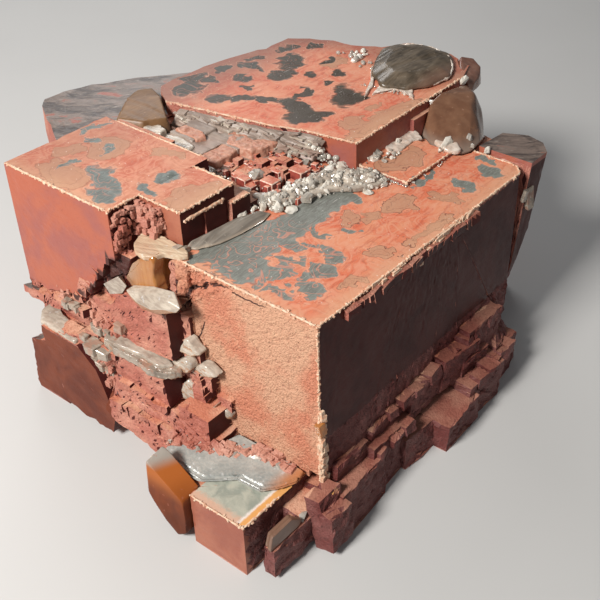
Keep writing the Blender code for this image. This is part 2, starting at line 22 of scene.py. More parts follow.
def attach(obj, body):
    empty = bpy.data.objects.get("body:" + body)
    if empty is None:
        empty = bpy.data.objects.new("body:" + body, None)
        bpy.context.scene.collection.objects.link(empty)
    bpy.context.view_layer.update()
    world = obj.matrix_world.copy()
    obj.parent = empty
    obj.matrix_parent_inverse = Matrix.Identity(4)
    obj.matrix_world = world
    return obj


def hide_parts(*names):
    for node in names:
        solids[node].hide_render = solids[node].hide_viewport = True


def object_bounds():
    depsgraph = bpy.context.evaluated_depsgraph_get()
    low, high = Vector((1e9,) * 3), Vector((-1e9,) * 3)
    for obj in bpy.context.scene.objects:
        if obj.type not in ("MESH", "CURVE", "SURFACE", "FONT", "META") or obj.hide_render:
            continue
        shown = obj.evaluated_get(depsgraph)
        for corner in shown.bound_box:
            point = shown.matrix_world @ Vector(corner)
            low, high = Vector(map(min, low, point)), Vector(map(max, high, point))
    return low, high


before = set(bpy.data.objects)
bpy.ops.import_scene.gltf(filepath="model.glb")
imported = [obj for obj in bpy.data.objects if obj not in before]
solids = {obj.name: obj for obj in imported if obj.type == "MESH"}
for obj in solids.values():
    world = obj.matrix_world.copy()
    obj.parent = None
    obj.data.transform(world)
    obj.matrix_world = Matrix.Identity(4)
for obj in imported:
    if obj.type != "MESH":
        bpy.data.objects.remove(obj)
solid_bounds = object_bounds()
print(len(solids), "solids:", ", ".join(sorted(solids)))

# %% [markdown]
# ## The lattice
#
# Any two edges that meet at a blunt corner of calcite are 101.92 degrees apart. `u` runs back to the left,
# `v` back to the right and `w` down, all from the front top corner of the largest block. A matrix with
# those three directions as its columns turns (u, v, w) into a place, and its inverse turns a place back.

# %% The three edge directions
MM = 0.001
CLEAVAGE_ANGLE = math.radians(101.92)
HEADING = math.radians(96.41)
FRONT_CORNER = Vector((8.197, -47.108, 58.572))  # of the largest block, in millimetres
MAIN_TOP = 0.0  # levels (w) of the flat tops
SLAB_TOP = -1.1
LEFT_TOP = -9.4
UPPER_TOP = -8.1
FOOT_TOP = 46.0
BASE = 61.6  # just above the flat cut underneath
FAR = 400.0  # farther off than any place on the specimen
TINY = 1e-20  # keeps a length from being nothing
SEED = 4


def edge_directions():
    """A matrix with the unit directions of u, v and w as its columns."""
    half = CLEAVAGE_ANGLE / 2
    lean = -math.cos(CLEAVAGE_ANGLE) / math.cos(half)
    u = Vector((math.cos(HEADING + half), math.sin(HEADING + half), 0))
    v = Vector((math.cos(HEADING - half), math.sin(HEADING - half), 0))
    w = Vector((-lean * math.cos(HEADING), -lean * math.sin(HEADING), -math.sqrt(1 - lean * lean)))
    return Matrix((u, v, w)).transposed()


EDGES = edge_directions()
LATTICE = Matrix.Scale(MM, 4) @ Matrix.Translation(FRONT_CORNER) @ EDGES.to_4x4()
BACK_TO_LATTICE = LATTICE.inverted()
TOWARDS_LATTICE = np.array(BACK_TO_LATTICE)
U_FACE, V_FACE, W_FACE = (Vector(row).normalized() for row in EDGES.inverted())


def moved(points, matrix):
    """Rows of places after a 4 by 4 matrix."""
    return points @ matrix[:3, :3].T + matrix[:3, 3]


def lattice_places(points):
    """Places in metres as (u, v, w) rows."""
    return moved(points, TOWARDS_LATTICE)


print("faces point along", [tuple(round(value, 3) for value in face) for face in (U_FACE, V_FACE, W_FACE)])

# %% [markdown]
# ## Noise for shapes
#
# Real faces are never regular, so most shapes below are pushed about by noise. Value noise takes a random
# number at each whole-number place and blends between them. It is written for whole arrays at once, since
# a loop over a hundred thousand corners is slow. `cells` leaves the blending out, which gives little steps.


# %% Value noise, fractal noise and cells
PRIMES = (73856093, 19349663, 83492791)  # large odd numbers, so that neighbours get unlike values
SEED_PRIME = 2654435761
STIRRER = 1274126177
LOW_BITS = 0xFFFF


def corner_values(whole, seed):
    """One repeatable number from -1 to 1 for each whole-number place."""
    x, y, z = (whole[:, axis].astype(np.int64) * prime for axis, prime in enumerate(PRIMES))
    mixed = x ^ y ^ z ^ (seed * SEED_PRIME)
    mixed = (mixed ^ (mixed >> 13)) * STIRRER
    mixed = mixed ^ (mixed >> 16)
    return (mixed & LOW_BITS) / (LOW_BITS / 2) - 1


def noise(points, seed=0):
    """Smooth noise from -1 to 1, one bump for each whole number."""
    whole = np.floor(points)
    part = points - whole
    part = part * part * (3 - 2 * part)
    total = np.zeros(len(points))
    for corner in range(8):
        step = np.array([corner & 1, corner >> 1 & 1, corner >> 2 & 1])
        share = np.prod(np.where(step, part, 1 - part), axis=1)
        total += share * corner_values(whole + step, seed)
    return total


def fractal(points, octaves, seed):
    """Noise with finer and weaker noise on top."""
    return sum(noise(points * 2**octave, seed + octave) / 2**octave for octave in range(octaves))


def cells(points, seed):
    """Noise that stays the same between whole numbers."""
    return corner_values(np.floor(points), seed)


print("noise at three places:", noise(np.array([[0.2, 0.4, 0.1], [5.5, 2.2, 8.1], [9.3, 3.3, 4.4]])).round(3))

# %% [markdown]
# ## From a solid to a piece
#
# A piece of the scene stands for one or more of the plain solids, and rides on the specimen's one body. A
# solid's mesh is taken as two arrays, its corners and its triangles, and made whole again, because the
# file it comes from splits every corner between its faces. Arrays make the finer cutting below quick.


# %% A piece, and a solid as two arrays
def make_piece(name, mesh, nodes=()):
    """Put a mesh into the scene as a piece, perhaps in place of solids."""
    piece = bpy.data.objects.new(name, mesh)
    bpy.context.scene.collection.objects.link(piece)
    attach(piece, "root")
    if nodes:
        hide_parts(*nodes)
    print(name, "has", sum(len(face.vertices) - 2 for face in mesh.polygons), "triangles")
    return piece


def take(node):
    """A solid's corners in metres and its triangles, with shared corners."""
    mesh = solids[node].data
    mesh.calc_loop_triangles()
    points = np.empty(len(mesh.vertices) * 3)
    triangles = np.empty(len(mesh.loop_triangles) * 3, np.int32)
    mesh.vertices.foreach_get("co", points)
    mesh.loop_triangles.foreach_get("vertices", triangles)
    points = points.reshape(-1, 3)
    _, first, joined = np.unique(np.round(points / MM, 3), axis=0, return_index=True, return_inverse=True)
    triangles = joined.reshape(-1)[triangles].reshape(-1, 3)
    whole = (triangles != np.roll(triangles, 1, axis=1)).all(axis=1)
    return points[first], triangles[whole]


print("the smoky crystal's solid has", len(take("smoky_crystal")[1]), "triangles")


# %% Normals
def face_normals(points, triangles):
    """Each triangle's normal, as long as twice its area."""
    a, b, c = (points[triangles[:, corner]] for corner in range(3))
    return np.cross(b - a, c - a)


def corner_normals(points, triangles):
    """Unit normals at the corners, in which a bigger triangle counts for more."""
    normals = gathered(triangles, face_normals(points, triangles), len(points))
    return normals / (np.linalg.norm(normals, axis=1, keepdims=True) + TINY)


def gathered(owners, vectors, count):
    """Add each triangle's vector to the three things that it owns."""
    owner = owners.ravel()
    columns = [np.bincount(owner, np.repeat(vectors[:, axis], 3), count) for axis in range(3)]
    return np.stack(columns, axis=1)


smoky_areas = np.linalg.norm(face_normals(*take("smoky_crystal")), axis=1) / 2 / MM**2
print("the smoky crystal's surface is", round(smoky_areas.sum()), "square millimetres")

# %% [markdown]
# ## Cutting a mesh finer
#
# Noise can only move corners that are there. So every edge that is too long gets a new corner in its
# middle, and a triangle is cut in two, three or four by how many of its edges were halved. That is done
# again until all edges are short enough. The allowed length may differ from place to place, and no crack
# opens between fine and coarse parts, since the triangles on both sides of an edge share its new corner.


# %% Halve the long edges
def refined(points, triangles, longest, rounds=10):
    """Halve edges until none is longer than longest(places, normals) allows, in millimetres."""
    for _ in range(rounds):
        starts, stops = triangles.astype(np.int64), np.roll(triangles, -1, axis=1)
        codes = np.minimum(starts, stops) * len(points) + np.maximum(starts, stops)
        codes, of_face = np.unique(codes.ravel(), return_inverse=True)
        of_face = of_face.reshape(-1, 3)
        flat = face_normals(points, triangles)
        flat /= np.linalg.norm(flat, axis=1, keepdims=True) + TINY
        beside = gathered(of_face, flat, len(codes))
        ends = points[np.stack([codes // len(points), codes % len(points)], axis=1)]
        lengths = np.linalg.norm(ends[:, 0] - ends[:, 1], axis=1) / MM
        middles = ends.mean(axis=1)
        long = lengths > longest(lattice_places(middles), beside)
        if not long.any():
            break
        new_corner = np.full(len(codes), -1)
        new_corner[long] = len(points) + np.arange(long.sum())
        points = np.vstack([points, middles[long]])
        triangles = split_triangles(triangles, new_corner[of_face])
    return points, triangles


def split_triangles(triangles, middles):
    """Cut each triangle through the new corners in its edges' middles, -1 where there is none."""
    made = []
    count = (middles >= 0).sum(axis=1)
    made.append(triangles[count == 0])
    for cuts in (1, 2, 3):
        for turn in range(3 if cuts < 3 else 1):
            a, b, c = np.roll(triangles, -turn, axis=1).T
            ab, bc, ca = np.roll(middles, -turn, axis=1).T
            here = (count == cuts) & (ab >= 0) & ((bc >= 0) if cuts == 2 else True)
            a, b, c, ab, bc, ca = (part[here] for part in (a, b, c, ab, bc, ca))
            if cuts == 1:
                new = ((a, ab, c), (ab, b, c))
            elif cuts == 2:
                new = ((ab, b, bc), (a, ab, bc), (a, bc, c))
            else:
                new = ((a, ab, ca), (ab, b, bc), (ca, bc, c), (ab, bc, ca))
            made += [np.stack(corners, axis=1) for corners in new]
    return np.vstack(made)


smoky_cut = refined(*take("smoky_crystal"), lambda places, normals: np.full(len(places), 1.0))
print("cut to 1 mm it has", len(smoky_cut[1]), "triangles")


# %% From arrays back to a mesh
def in_box(points):
    """No piece reaches past the solids' own box."""
    return np.clip(points, *(np.array(corner) for corner in solid_bounds))


def mesh_from(name, points, triangles, smooth=False):
    """A Blender mesh from corners in metres and triangles."""
    mesh = bpy.data.meshes.new(name)
    mesh.vertices.add(len(points))
    mesh.vertices.foreach_set("co", points.astype(np.float32).ravel())
    mesh.loops.add(triangles.size)
    mesh.loops.foreach_set("vertex_index", triangles.astype(np.int32).ravel())
    mesh.polygons.add(len(triangles))
    mesh.polygons.foreach_set("loop_start", np.arange(0, triangles.size, 3, dtype=np.int32))
    mesh.polygons.foreach_set("loop_total", np.full(len(triangles), 3, np.int32))
    mesh.polygons.foreach_set("use_smooth", np.full(len(triangles), smooth))
    mesh.update(calc_edges=True)
    return mesh


# %% [markdown]
# ## Writing materials as sums
#
# A material here is a recipe of nodes. `Recipe` makes one material and adds nodes to it; `Field` wraps one
# socket, a value that changes over the surface, so that `1 - mask` or `height * 0.3` adds the Math nodes
# for itself. Colours and vectors don't go through Math nodes, which would turn a colour grey, but through
# Mix and Vector Math.


# %% A field
class Field:
    """A value that changes over the surface: one socket of a recipe's nodes."""

    def __init__(self, recipe, socket):
        self.recipe = recipe
        self.socket = socket

    def maths(self, operation, *values):
        """A Math node on these numbers and fields."""
        return self.recipe.add("ShaderNodeMath", {"operation": operation}, dict(enumerate(values)))

    def __add__(self, other):
        return self.maths("ADD", self, other)

    __radd__ = __add__

    def __sub__(self, other):
        return self.maths("SUBTRACT", self, other)

    def __rsub__(self, other):
        return self.maths("SUBTRACT", other, self)

    def __mul__(self, other):
        return self.maths("MULTIPLY", self, other)

    __rmul__ = __mul__

    def at_most(self, other):
        return self.maths("MINIMUM", self, other)

    def wrapped(self):
        """Only the part after the point."""
        return self.maths("FRACT", self)

    def rise(self, low, high):
        """0 below low, 1 above high and a smooth slope between them. It falls if high is under low."""
        settings = {"interpolation_type": "SMOOTHSTEP", "clamp": True}
        ends = {0: self, 1: min(low, high), 2: max(low, high)}
        ends |= {3: 0.0, 4: 1.0} if low < high else {3: 1.0, 4: 0.0}
        return self.recipe.add("ShaderNodeMapRange", settings, ends)

    def band(self, low, high, soft):
        """1 between low and high, with soft ends."""
        return self.rise(low - soft, low + soft) * self.rise(high + soft, high - soft)


# %% A recipe
class Recipe:
    """One material while its nodes are being put together. Lengths are in millimetres."""

    def __init__(self, name):
        self.material = bpy.data.materials.new(name)
        self.material.use_nodes = True
        self.tree = self.material.node_tree
        self.tree.nodes.clear()
        metres = self.add("ShaderNodeTexCoord", output="Object")
        self.mm = self.shift(self.scale(metres, 1 / MM), -FRONT_CORNER)
        self.u, self.v, self.w = (self.dot(self.mm, row) for row in EDGES.inverted())
        self.uv = self.vector(self.u, self.v, 0.0)
        self.uvw = self.vector(self.u, self.v, self.w)

    def add(self, kind, settings=None, values=None, output=0):
        """One node of any kind: its settings first, then its sockets' values or links."""
        node = self.tree.nodes.new(kind)
        for key, value in (settings or {}).items():
            setattr(node, key, value)
        for key, value in (values or {}).items():
            if isinstance(value, Field):
                self.tree.links.new(value.socket, node.inputs[key])
            else:
                node.inputs[key].default_value = value
        return Field(self, node.outputs[output])

    def vector_maths(self, operation, first, second=(0, 0, 0), output=0):
        return self.add("ShaderNodeVectorMath", {"operation": operation}, {0: first, 1: second}, output)

    def vector(self, x, y, z):
        return self.add("ShaderNodeCombineXYZ", values={0: x, 1: y, 2: z})

    def scale(self, vector, by):
        factors = (by, by, by) if isinstance(by, (int, float)) else by
        return self.vector_maths("MULTIPLY", vector, factors)

    def shift(self, vector, by):
        return self.vector_maths("ADD", vector, by)

    def from_oval(self, vector, middle, half, degrees):
        """How far each place is from an oval's middle, counted so that its rim is at 1."""
        turn = (0, 0, math.radians(degrees))
        values = {"Vector": vector, "Location": (*middle, 0), "Rotation": turn, "Scale": (*half, 1)}
        seen = self.add("ShaderNodeMapping", {"vector_type": "TEXTURE"}, values)
        return self.vector_maths("LENGTH", seen, output="Value")

    def dot(self, vector, row):
        return self.vector_maths("DOT_PRODUCT", vector, tuple(row), "Value")

    def noise(self, vector, scale, detail=3.0, roughness=0.55, distortion=0.0, output="Fac"):
        values = {"Vector": vector, "Scale": scale, "Detail": detail}
        values |= {"Roughness": roughness, "Distortion": distortion}
        return self.add("ShaderNodeTexNoise", {"noise_dimensions": "3D"}, values, output)

    def grains(self, vector, scale, randomness=1.0):
        """How far each place is from the nearest grain's middle."""
        settings = {"feature": "F1", "voronoi_dimensions": "3D"}
        values = {"Vector": vector, "Scale": scale, "Randomness": randomness}
        return self.add("ShaderNodeTexVoronoi", settings, values, "Distance")

    def mix(self, mask, first, second):
        """The first colour where the mask is 0 and the second where it is 1."""
        first, second = (c if isinstance(c, Field) else (*c, 1.0) for c in (first, second))
        node = {"Factor": mask, 6: first, 7: second}
        return self.add("ShaderNodeMix", {"data_type": "RGBA", "clamp_factor": True}, node, 2)

    def bump(self, height, strength):
        """Heights in millimetres as a tilt of the surface."""
        return self.add("ShaderNodeBump", values={"Height": height, "Strength": strength, "Distance": MM})

    def finish(self, values, density=None, tint=(1, 1, 1)):
        """The shader, its constants and fields, and the body colour of a clear crystal."""
        shader = self.add("ShaderNodeBsdfPrincipled", values=values)
        links = {"Surface": shader}
        if density:
            stuff = {"Color": (*tint, 1.0), "Density": density}
            links["Volume"] = self.add("ShaderNodeVolumeAbsorption", values=stuff)
        output = self.tree.nodes.new("ShaderNodeOutputMaterial")
        for key, field in links.items():
            self.tree.links.new(field.socket, output.inputs[key])
        return self.material


def lighter(colour, times, more=0.0, most=1.0):
    """A colour times a number, with more added and held to the most."""
    return tuple(min(value * times + more, most) for value in colour)


print("a red made lighter by half:", lighter((0.5, 0.2, 0.1), 1.5))

# %% [markdown]
# ## The red mass
#
# The solid has the blocks, steps and crumbs in place, but its faces are perfectly flat and its edges
# perfectly sharp. Weathered calcite is flat only on its best faces: elsewhere it is eaten into grains and
# small steps. So the solid's mesh is cut finer where the stone is rough, and its corners are then moved
# along their normals by noise. How fine and how far depends on where the corner lies, which is easy to
# say in lattice numbers. The smooth tops stay coarse and still.


# %% How fine and how rough, by place
def facing(normals, direction):
    """How squarely each normal points along a direction, from -1 to 1."""
    lengths = np.linalg.norm(normals, axis=1) + TINY
    return normals @ np.array(direction) / lengths


def inside(places, *boxes):
    """Which places lie in any of the boxes. A box names its lowest and highest u, v or w."""
    found = np.zeros(len(places), bool)
    for box in boxes:
        low, high = np.transpose([box.get(axis, (-FAR, FAR)) for axis in "uvw"])
        found |= ((places > low) & (places < high)).all(axis=1)
    return found


ZONE_BOXES = {
    "main": (
        dict(u=(-FAR, 47), v=(-0.6, 0.6), w=(-0.5, 46.6)),
        dict(u=(20, 41.6), v=(-1.4, 1.4), w=(-0.5, 14)),  # where it is cracked
    ),
    "smooth": (dict(u=(56, FAR), v=(-5.8, -5), w=(-FAR, 25)), dict(u=(-FAR, 60), v=(55, FAR), w=(-FAR, 1))),
    "left": (dict(u=(18, FAR), v=(-FAR, 8)),),
    "foot_front": (dict(v=(-FAR, -21)),),
    "lumps": (dict(u=(-FAR, 6), w=(34, FAR)),),
    "flat_parts": (dict(u=(61, FAR), v=(-FAR, -8), w=(34, FAR)), dict(u=(-FAR, 58), v=(4, FAR), w=(-FAR, 1))),
}
LOOKS_UP = 0.93  # how squarely a top faces up, a wall the right and a cleaved face the front
LOOKS_RIGHT = 0.6
LOOKS_FRONT = 0.85


def stone_zones(places, normals):
    """Which kind of face each place is on. Walls face right, and their finish paints them in shade."""
    found = {name: inside(places, *boxes) for name, boxes in ZONE_BOXES.items()}
    top = facing(normals, (0, 0, 1)) > LOOKS_UP
    side = ~top & (places[:, 2] < BASE)
    main = side & found["main"]
    smooth = side & found["smooth"]
    left = side & found["left"] & ~main & ~smooth
    foot_front = side & found["foot_front"]
    lumps = side & found["lumps"] & ~main & ~foot_front
    wall = side & (facing(normals, U_FACE) < -LOOKS_RIGHT) & ~lumps
    cleaved = foot_front | (left & (facing(normals, V_FACE) < -LOOKS_FRONT) & found["flat_parts"])
    return {
        "top": top, "main": main, "smooth": smooth, "left": left, "cleaved": cleaved, "lumps": lumps,
        "wall": wall, "base": places[:, 2] > BASE,
    }


# %% How fine each zone is cut
FINEST = {
    # longest edge allowed in each zone, in millimetres; a later zone wins
    "left": 1.2, "cleaved": 2.0, "lumps": 1.6, "wall": 2.2, "smooth": 2.0, "main": 1.0, "top": 4.0,
    "base": FAR,
}
FINEST_ELSEWHERE = 4.0


def finest_length(places, normals):
    """The longest edge allowed at each place, in millimetres."""
    length = np.full(len(places), FINEST_ELSEWHERE)
    zones = stone_zones(places, normals)
    for name, longest in FINEST.items():
        length[zones[name]] = longest
    return length


# %% How rough each zone is, and its cracks
GRAIN = {
    # how far worms, little steps and grains push the surface, in millimetres
    "left": (0.34, 0.17, 0.05), "cleaved": (0.07, 0.03, 0.01), "lumps": (0.34, 0.30, 0.10),
    "wall": (0.07, 0.03, 0.04), "smooth": (0.05, 0, 0.01), "main": (0.12, 0.03, 0.12), "top": (0.02, 0, 0),
    "base": (0, 0, 0),
}
GRAIN_ELSEWHERE = (0.25, 0.20, 0.10)
MAIN_CRACK = (
    # (u, w) on the main block's front face
    (40.8, 13.7), (39.2, 10.4), (38.1, 6.9), (36.3, 5.3), (34.1, 5.0), (32.6, 3.0), (29.2, 2.0),
    (25.3, 1.8),
)
SIDE_CRACKS = ((25.3, 1.8), (20.6, 1.9), (15.4, 1.6)), ((34.7, 15.2), (36.1, 18.8), (37.8, 21.6))
CRACK_DEPTH = 0.9
CRACK_SHARE = 1.4  # of the depth at a crack's middle, before it is capped at 1
CRACK_LOSS = 1.7  # of that share for each millimetre away
WORMS = 0.48  # height of the worm-like grains to the left of the crack
WORMY_BOX = dict(u=(25, FAR), w=(-FAR, 13.5))
WORM_SIZES = (0.75, 1, 1.1)  # per millimetre along u, v and w
FINE_SIZES = (1.1, 1.1, 1.5)
BROAD_SIZES = (0.55, 0.55, 0.8)
STEP_SIZES = (2.6, 2.2, 1.7)  # millimetres


# %% Grain the faces
def from_line(flat, line):
    """How far each flat place is from a broken line."""
    nearest = np.full(len(flat), FAR)
    for start, stop in zip(np.array(line), np.array(line[1:])):
        along = stop - start
        share = np.clip((flat - start) @ along / (along @ along), 0, 1)
        nearest = np.minimum(nearest, np.linalg.norm(flat - start - share[:, None] * along, axis=1))
    return nearest


def grain_height(places, normals):
    """How far each corner moves out, in millimetres."""
    u, _, w = places.T
    jitter = 0.25 * noise(places, 3)[:, None]
    steps = cells(places / STEP_SIZES + jitter, SEED + 8)
    grains = noise(places * 2.1, SEED + 20)
    shares = np.tile(np.array(GRAIN_ELSEWHERE), (len(places), 1))
    zones = stone_zones(places, normals)
    for name, zone in zones.items():
        shares[zone] = GRAIN[name]
    fine = fractal(places * FINE_SIZES, 3, SEED)
    broad = fractal(places * BROAD_SIZES, 2, SEED)
    worms = np.where(zones["main"], fine, broad)
    height = shares[:, 0] * worms + shares[:, 1] * steps + shares[:, 2] * grains
    flat = places[:, [0, 2]] + 0.35 * np.stack([noise(places * 0.9, 5), noise(places * 0.9, 6)], axis=1)
    crack = np.clip(CRACK_SHARE - from_line(flat, MAIN_CRACK) * CRACK_LOSS, 0, 1)
    wormy = inside(places, WORMY_BOX) & (u > 41 - 1.25 * (13 - w))
    ridged = 1 - 2 * np.abs(noise(places * WORM_SIZES, 7))
    height[zones["main"]] += (WORMS * ridged * wormy - CRACK_DEPTH * crack)[zones["main"]]
    return height


def weathered(node):
    """A solid cut finer, with its corners moved along their normals."""
    points, triangles = refined(*take(node), finest_length)
    normals = corner_normals(points, triangles)
    heights = grain_height(lattice_places(points), normals)
    return in_box(points + normals * heights[:, None] * MM), triangles


red_mesh = mesh_from("red_rock", *weathered("red_calcite"), smooth=True)
red_rock = make_piece("red_rock", red_mesh, ["red_calcite"])

# %% [markdown]
# ## The stone's colours
#
# The sides are salmon to orange-brown grains with darker pits between them. The flat tops are another
# thing: iron oxide was laid down in growth layers, and where the top layers were dissolved away, dark
# grey-green patches with lobed outlines look through the red. The patches are laid out as ovals in (u, v)
# and their outlines pushed about by noise, which is how they got their lobes in nature too. Thin lines
# like a map's contours run round them, one for each layer.


# %% Warps and painted shade in hollows
def pushed(made, scale, far, detail):
    """A warp: noise in two directions, up to about half of far, in millimetres."""
    colours = made.noise(made.uv, scale, detail, 0.5, 0.6, output="Color")
    return made.scale(made.shift(colours, (-0.5, -0.5, -0.5)), (far, far, 0))


SHADE_BLACK = (0.03, 0.008, 0.007)


def paint_shade_ovals(made, colour, shade_ovals):
    """Painted shade as nearly black ovals: u, w, half-sizes, turn in degrees and how far their outline
    wanders.
    """
    for u, w, half_u, half_w, turn, far in shade_ovals:
        place = made.shift(made.vector(made.u, made.w, 0.0), pushed(made, 0.4, far, 2))
        away = made.from_oval(place, (u, w), (half_u, half_w), turn)
        colour = made.mix(away.rise(1.1, 0.8) * 0.9, colour, SHADE_BLACK)
    return colour


# %% Granular stone
def granular_stone(name, bright, plain, deep, depth, shade=None, shade_ovals=()):
    """Grains with darker pits between them. shade (u, w, share) paints shade on what lies to the lower left.
    """
    made = Recipe(name)
    grains = made.grains(made.mm, 1.7, randomness=0.9)
    worms = made.noise(made.mm, 1.2, 4, 0.62)
    clouds = made.noise(made.mm, 0.07, 3, 0.55)
    flecks = made.noise(made.mm, 0.45, 3, 0.7)
    pits = grains.rise(0.45, 1.1) * 0.25 + worms.rise(0.50, 0.26) * 0.42
    colour = made.mix(clouds.rise(0.40, 0.62), plain, bright)
    colour = made.mix(flecks.rise(0.55, 0.75) * 0.35, colour, lighter(bright, 1.5, most=0.8))
    colour = made.mix(pits.at_most(0.55), colour, deep)
    if shade:
        from_u, from_w, share = shade
        # painted shade: darker towards the lower left, where the light falls off
        painted_shade = made.u.rise(from_u, from_u + 30) * made.w.rise(from_w, from_w + 16) * share
        colour = made.mix(painted_shade, colour, deep)
    colour = paint_shade_ovals(made, colour, shade_ovals)
    height = worms * 0.8 - grains * 0.5 + made.noise(made.mm, 3.1, 2) * 0.35
    values = {
        "Base Color": colour,
        "Roughness": worms * 0.25 + 0.42,
        "Normal": made.bump(height * depth, 0.9),
        "Specular IOR Level": 0.4,
    }
    return made.finish(values)


# %% [markdown]
# ### Painted shade in hollows and cracks
#
# The rough side has hollows, most of them under the left block's lower edge, and the main block is cracked.
# Both look nearly black, because shade falls in them. The cracks are narrower than the mesh's triangles and
# the hollows are shallow, so that shade is painted into the colour as nearly black ovals. Only the main
# crack, the widest, is sunk into the mesh too.

# %% Where the sides' hollows and cracks get painted shade
BRICK = (0.24, 0.055, 0.035)
# painted shadow under the left block's lower edge, and in a groove beside the main face
SIDE_SHADE_OVALS = (
    (56.6, 6.0, 4.6, 4.0, 0, 5), (61.4, 10.8, 4.6, 2.6, 30, 5), (67.0, 16.0, 3.4, 1.8, 30, 4),
    (76.0, 21.6, 7.0, 1.5, 24, 5), (41.4, 9.0, 0.8, 5.0, 0, 2),
)
SMOOTH_SIDE_SHADE_OVALS = SIDE_SHADE_OVALS[:3]
OVERLAP = 0.9  # how far past its ends each oval of a crack reaches


def line_ovals(line, half, last_half, far=0.7):
    """Thin ovals of painted shade end to end along a broken line, narrowing towards its last place."""
    steps = list(zip(line, line[1:]))
    made = []
    for number, ((u, w), (next_u, next_w)) in enumerate(steps):
        thick = half + (last_half - half) * number / len(steps)
        long = math.hypot(next_u - u, next_w - w) / 2 + OVERLAP
        turn = math.degrees(math.atan2(next_w - w, next_u - u))
        made.append(((u + next_u) / 2, (w + next_w) / 2, long, thick, turn, far))
    return made


CRACKS = line_ovals(MAIN_CRACK, half=0.75, last_half=0.34)
for line in SIDE_CRACKS:
    CRACKS += line_ovals(line, half=0.26, last_half=0.2)
print(len(CRACKS), "thin ovals make up the cracks")

# %% The granular sides
main_face = granular_stone(
    "main_face_stone", (0.62, 0.34, 0.215), (0.58, 0.22, 0.13), BRICK, 0.6,
    shade=(20, -20, 0.16), shade_ovals=CRACKS,
)
rough_side = granular_stone(
    "rough_side_stone", (0.54, 0.24, 0.17), (0.42, 0.135, 0.095), (0.17, 0.045, 0.036), 0.42,
    shade=(50, 26, 0.6), shade_ovals=SIDE_SHADE_OVALS,
)
# painted shade: the low lumps on the right are painted nearly black for the shadow they stand in
shaded_lump_stone = granular_stone("shaded_lump_stone", (0.22, 0.08, 0.07), (0.15, 0.035, 0.03), (0.06, 0.013, 0.012), 0.4)
ledge_top = granular_stone("ledge_top_stone", (0.66, 0.36, 0.24), (0.56, 0.20, 0.12), BRICK, 0.25)
# painted shade: the tops of the low steps on the right, darkened for the shadow they stand in
shaded_ledge_top = granular_stone(
    "shaded_ledge_top_stone", (0.40, 0.18, 0.125), (0.30, 0.10, 0.07), (0.12, 0.03, 0.022), 0.25
)


# %% [markdown]
# ### Satin faces
#
# Where calcite splits cleanly it leaves a face with a satin shine. Such a side has faint clouds and thin
# streaks instead of grains. The wall that faces right is one too. It stands in the shade, and that shade is
# painted into its colour, as it is into the low cleaved faces on the left.


# %% The satin sides
def satin_stone(name, bright, plain, deep, shade_ovals, shine):
    """A smooth crystal face with faint clouds."""
    made = Recipe(name)
    clouds = made.noise(made.mm, 0.09, 3, 0.6, 0.4)
    fine = made.noise(made.mm, 1.4, 4, 0.6)
    lines = made.noise(made.scale(made.mm, (0.3, 0.3, 3.0)), 0.5, 3, 0.6)
    colour = made.mix(clouds.rise(0.38, 0.66), bright, plain)
    colour = made.mix(fine.rise(0.55, 0.75) * 0.35 + lines.rise(0.6, 0.75) * 0.2, colour, deep)
    colour = paint_shade_ovals(made, colour, shade_ovals)
    values = {
        "Base Color": colour,
        "Roughness": clouds * 0.2 + 0.26,
        "Normal": made.bump(fine * 0.10 + lines * 0.06, 0.6),
        "Specular IOR Level": shine,
    }
    return made.finish(values)


SATIN_SIDES = {
    # bright, plain and deep colour, ovals of painted shade, shine; the low side and the wall paint shade
    "cleaved_side": ((0.39, 0.135, 0.08), (0.31, 0.095, 0.06), (0.20, 0.055, 0.04), (), 0.45),
    # painted shade: a darker copy of the cleaved side, for the low faces on the left
    "shaded_low_side": ((0.17, 0.044, 0.022), (0.115, 0.030, 0.018), (0.07, 0.02, 0.012), (), 0.15),
    "smooth_side": ((0.41, 0.11, 0.06), (0.33, 0.10, 0.08), BRICK, SMOOTH_SIDE_SHADE_OVALS, 0.45),
    # painted shade: the right-facing wall, nearly black
    "shaded_wall": ((0.085, 0.018, 0.015), (0.06, 0.013, 0.012), (0.035, 0.008, 0.008), (), 0.2),
}
satin = {name: satin_stone(name + "_stone", *row) for name, row in SATIN_SIDES.items()}
print("satin sides:", ", ".join(satin))

# %% Where the patches lie on each flat top
MAIN_DARK = (
    # middle u, middle v, half-size along and across, and the turn of its length from u towards v in degrees
    (31.5, 10, 6.0, 9.5, 0), (31, 27, 6.0, 11, 0), (31.5, 43, 5.2, 9.5, 0), (37.5, 12, 4.4, 12, 0),
    (31, 5.0, 9.6, 3.6, 0), (39, 5.6, 2.6, 4.0, 0), (23, 30.5, 4.4, 0.9, 4), (25, 21, 3.6, 3.2, 0),
    (21.5, 15.5, 4.4, 1.7, -30), (27, 45.5, 2.4, 2.2, 0), (9, 9.5, 4.2, 3.4, 20), (14, 5, 3.2, 1.8, 0),
    (12.5, 17.5, 2.8, 3.8, 0), (15, 23.5, 3.2, 1.9, 10), (14.5, 12.5, 1.4, 2.8, 0),
    (19.5, 9.5, 1.8, 5.8, 0), (24, 8.5, 3.2, 3.2, 0), (8, 69.5, 5.2, 3.2, 20), (6.5, 79.5, 3.6, 3.8, 0),
    (11.5, 85, 2.8, 1.5, 0), (18.3, 66, 0.9, 6.2, 0), (18, 35.5, 1.4, 1.0, 0), (20.5, 23.5, 2.2, 1.0, 20),
)
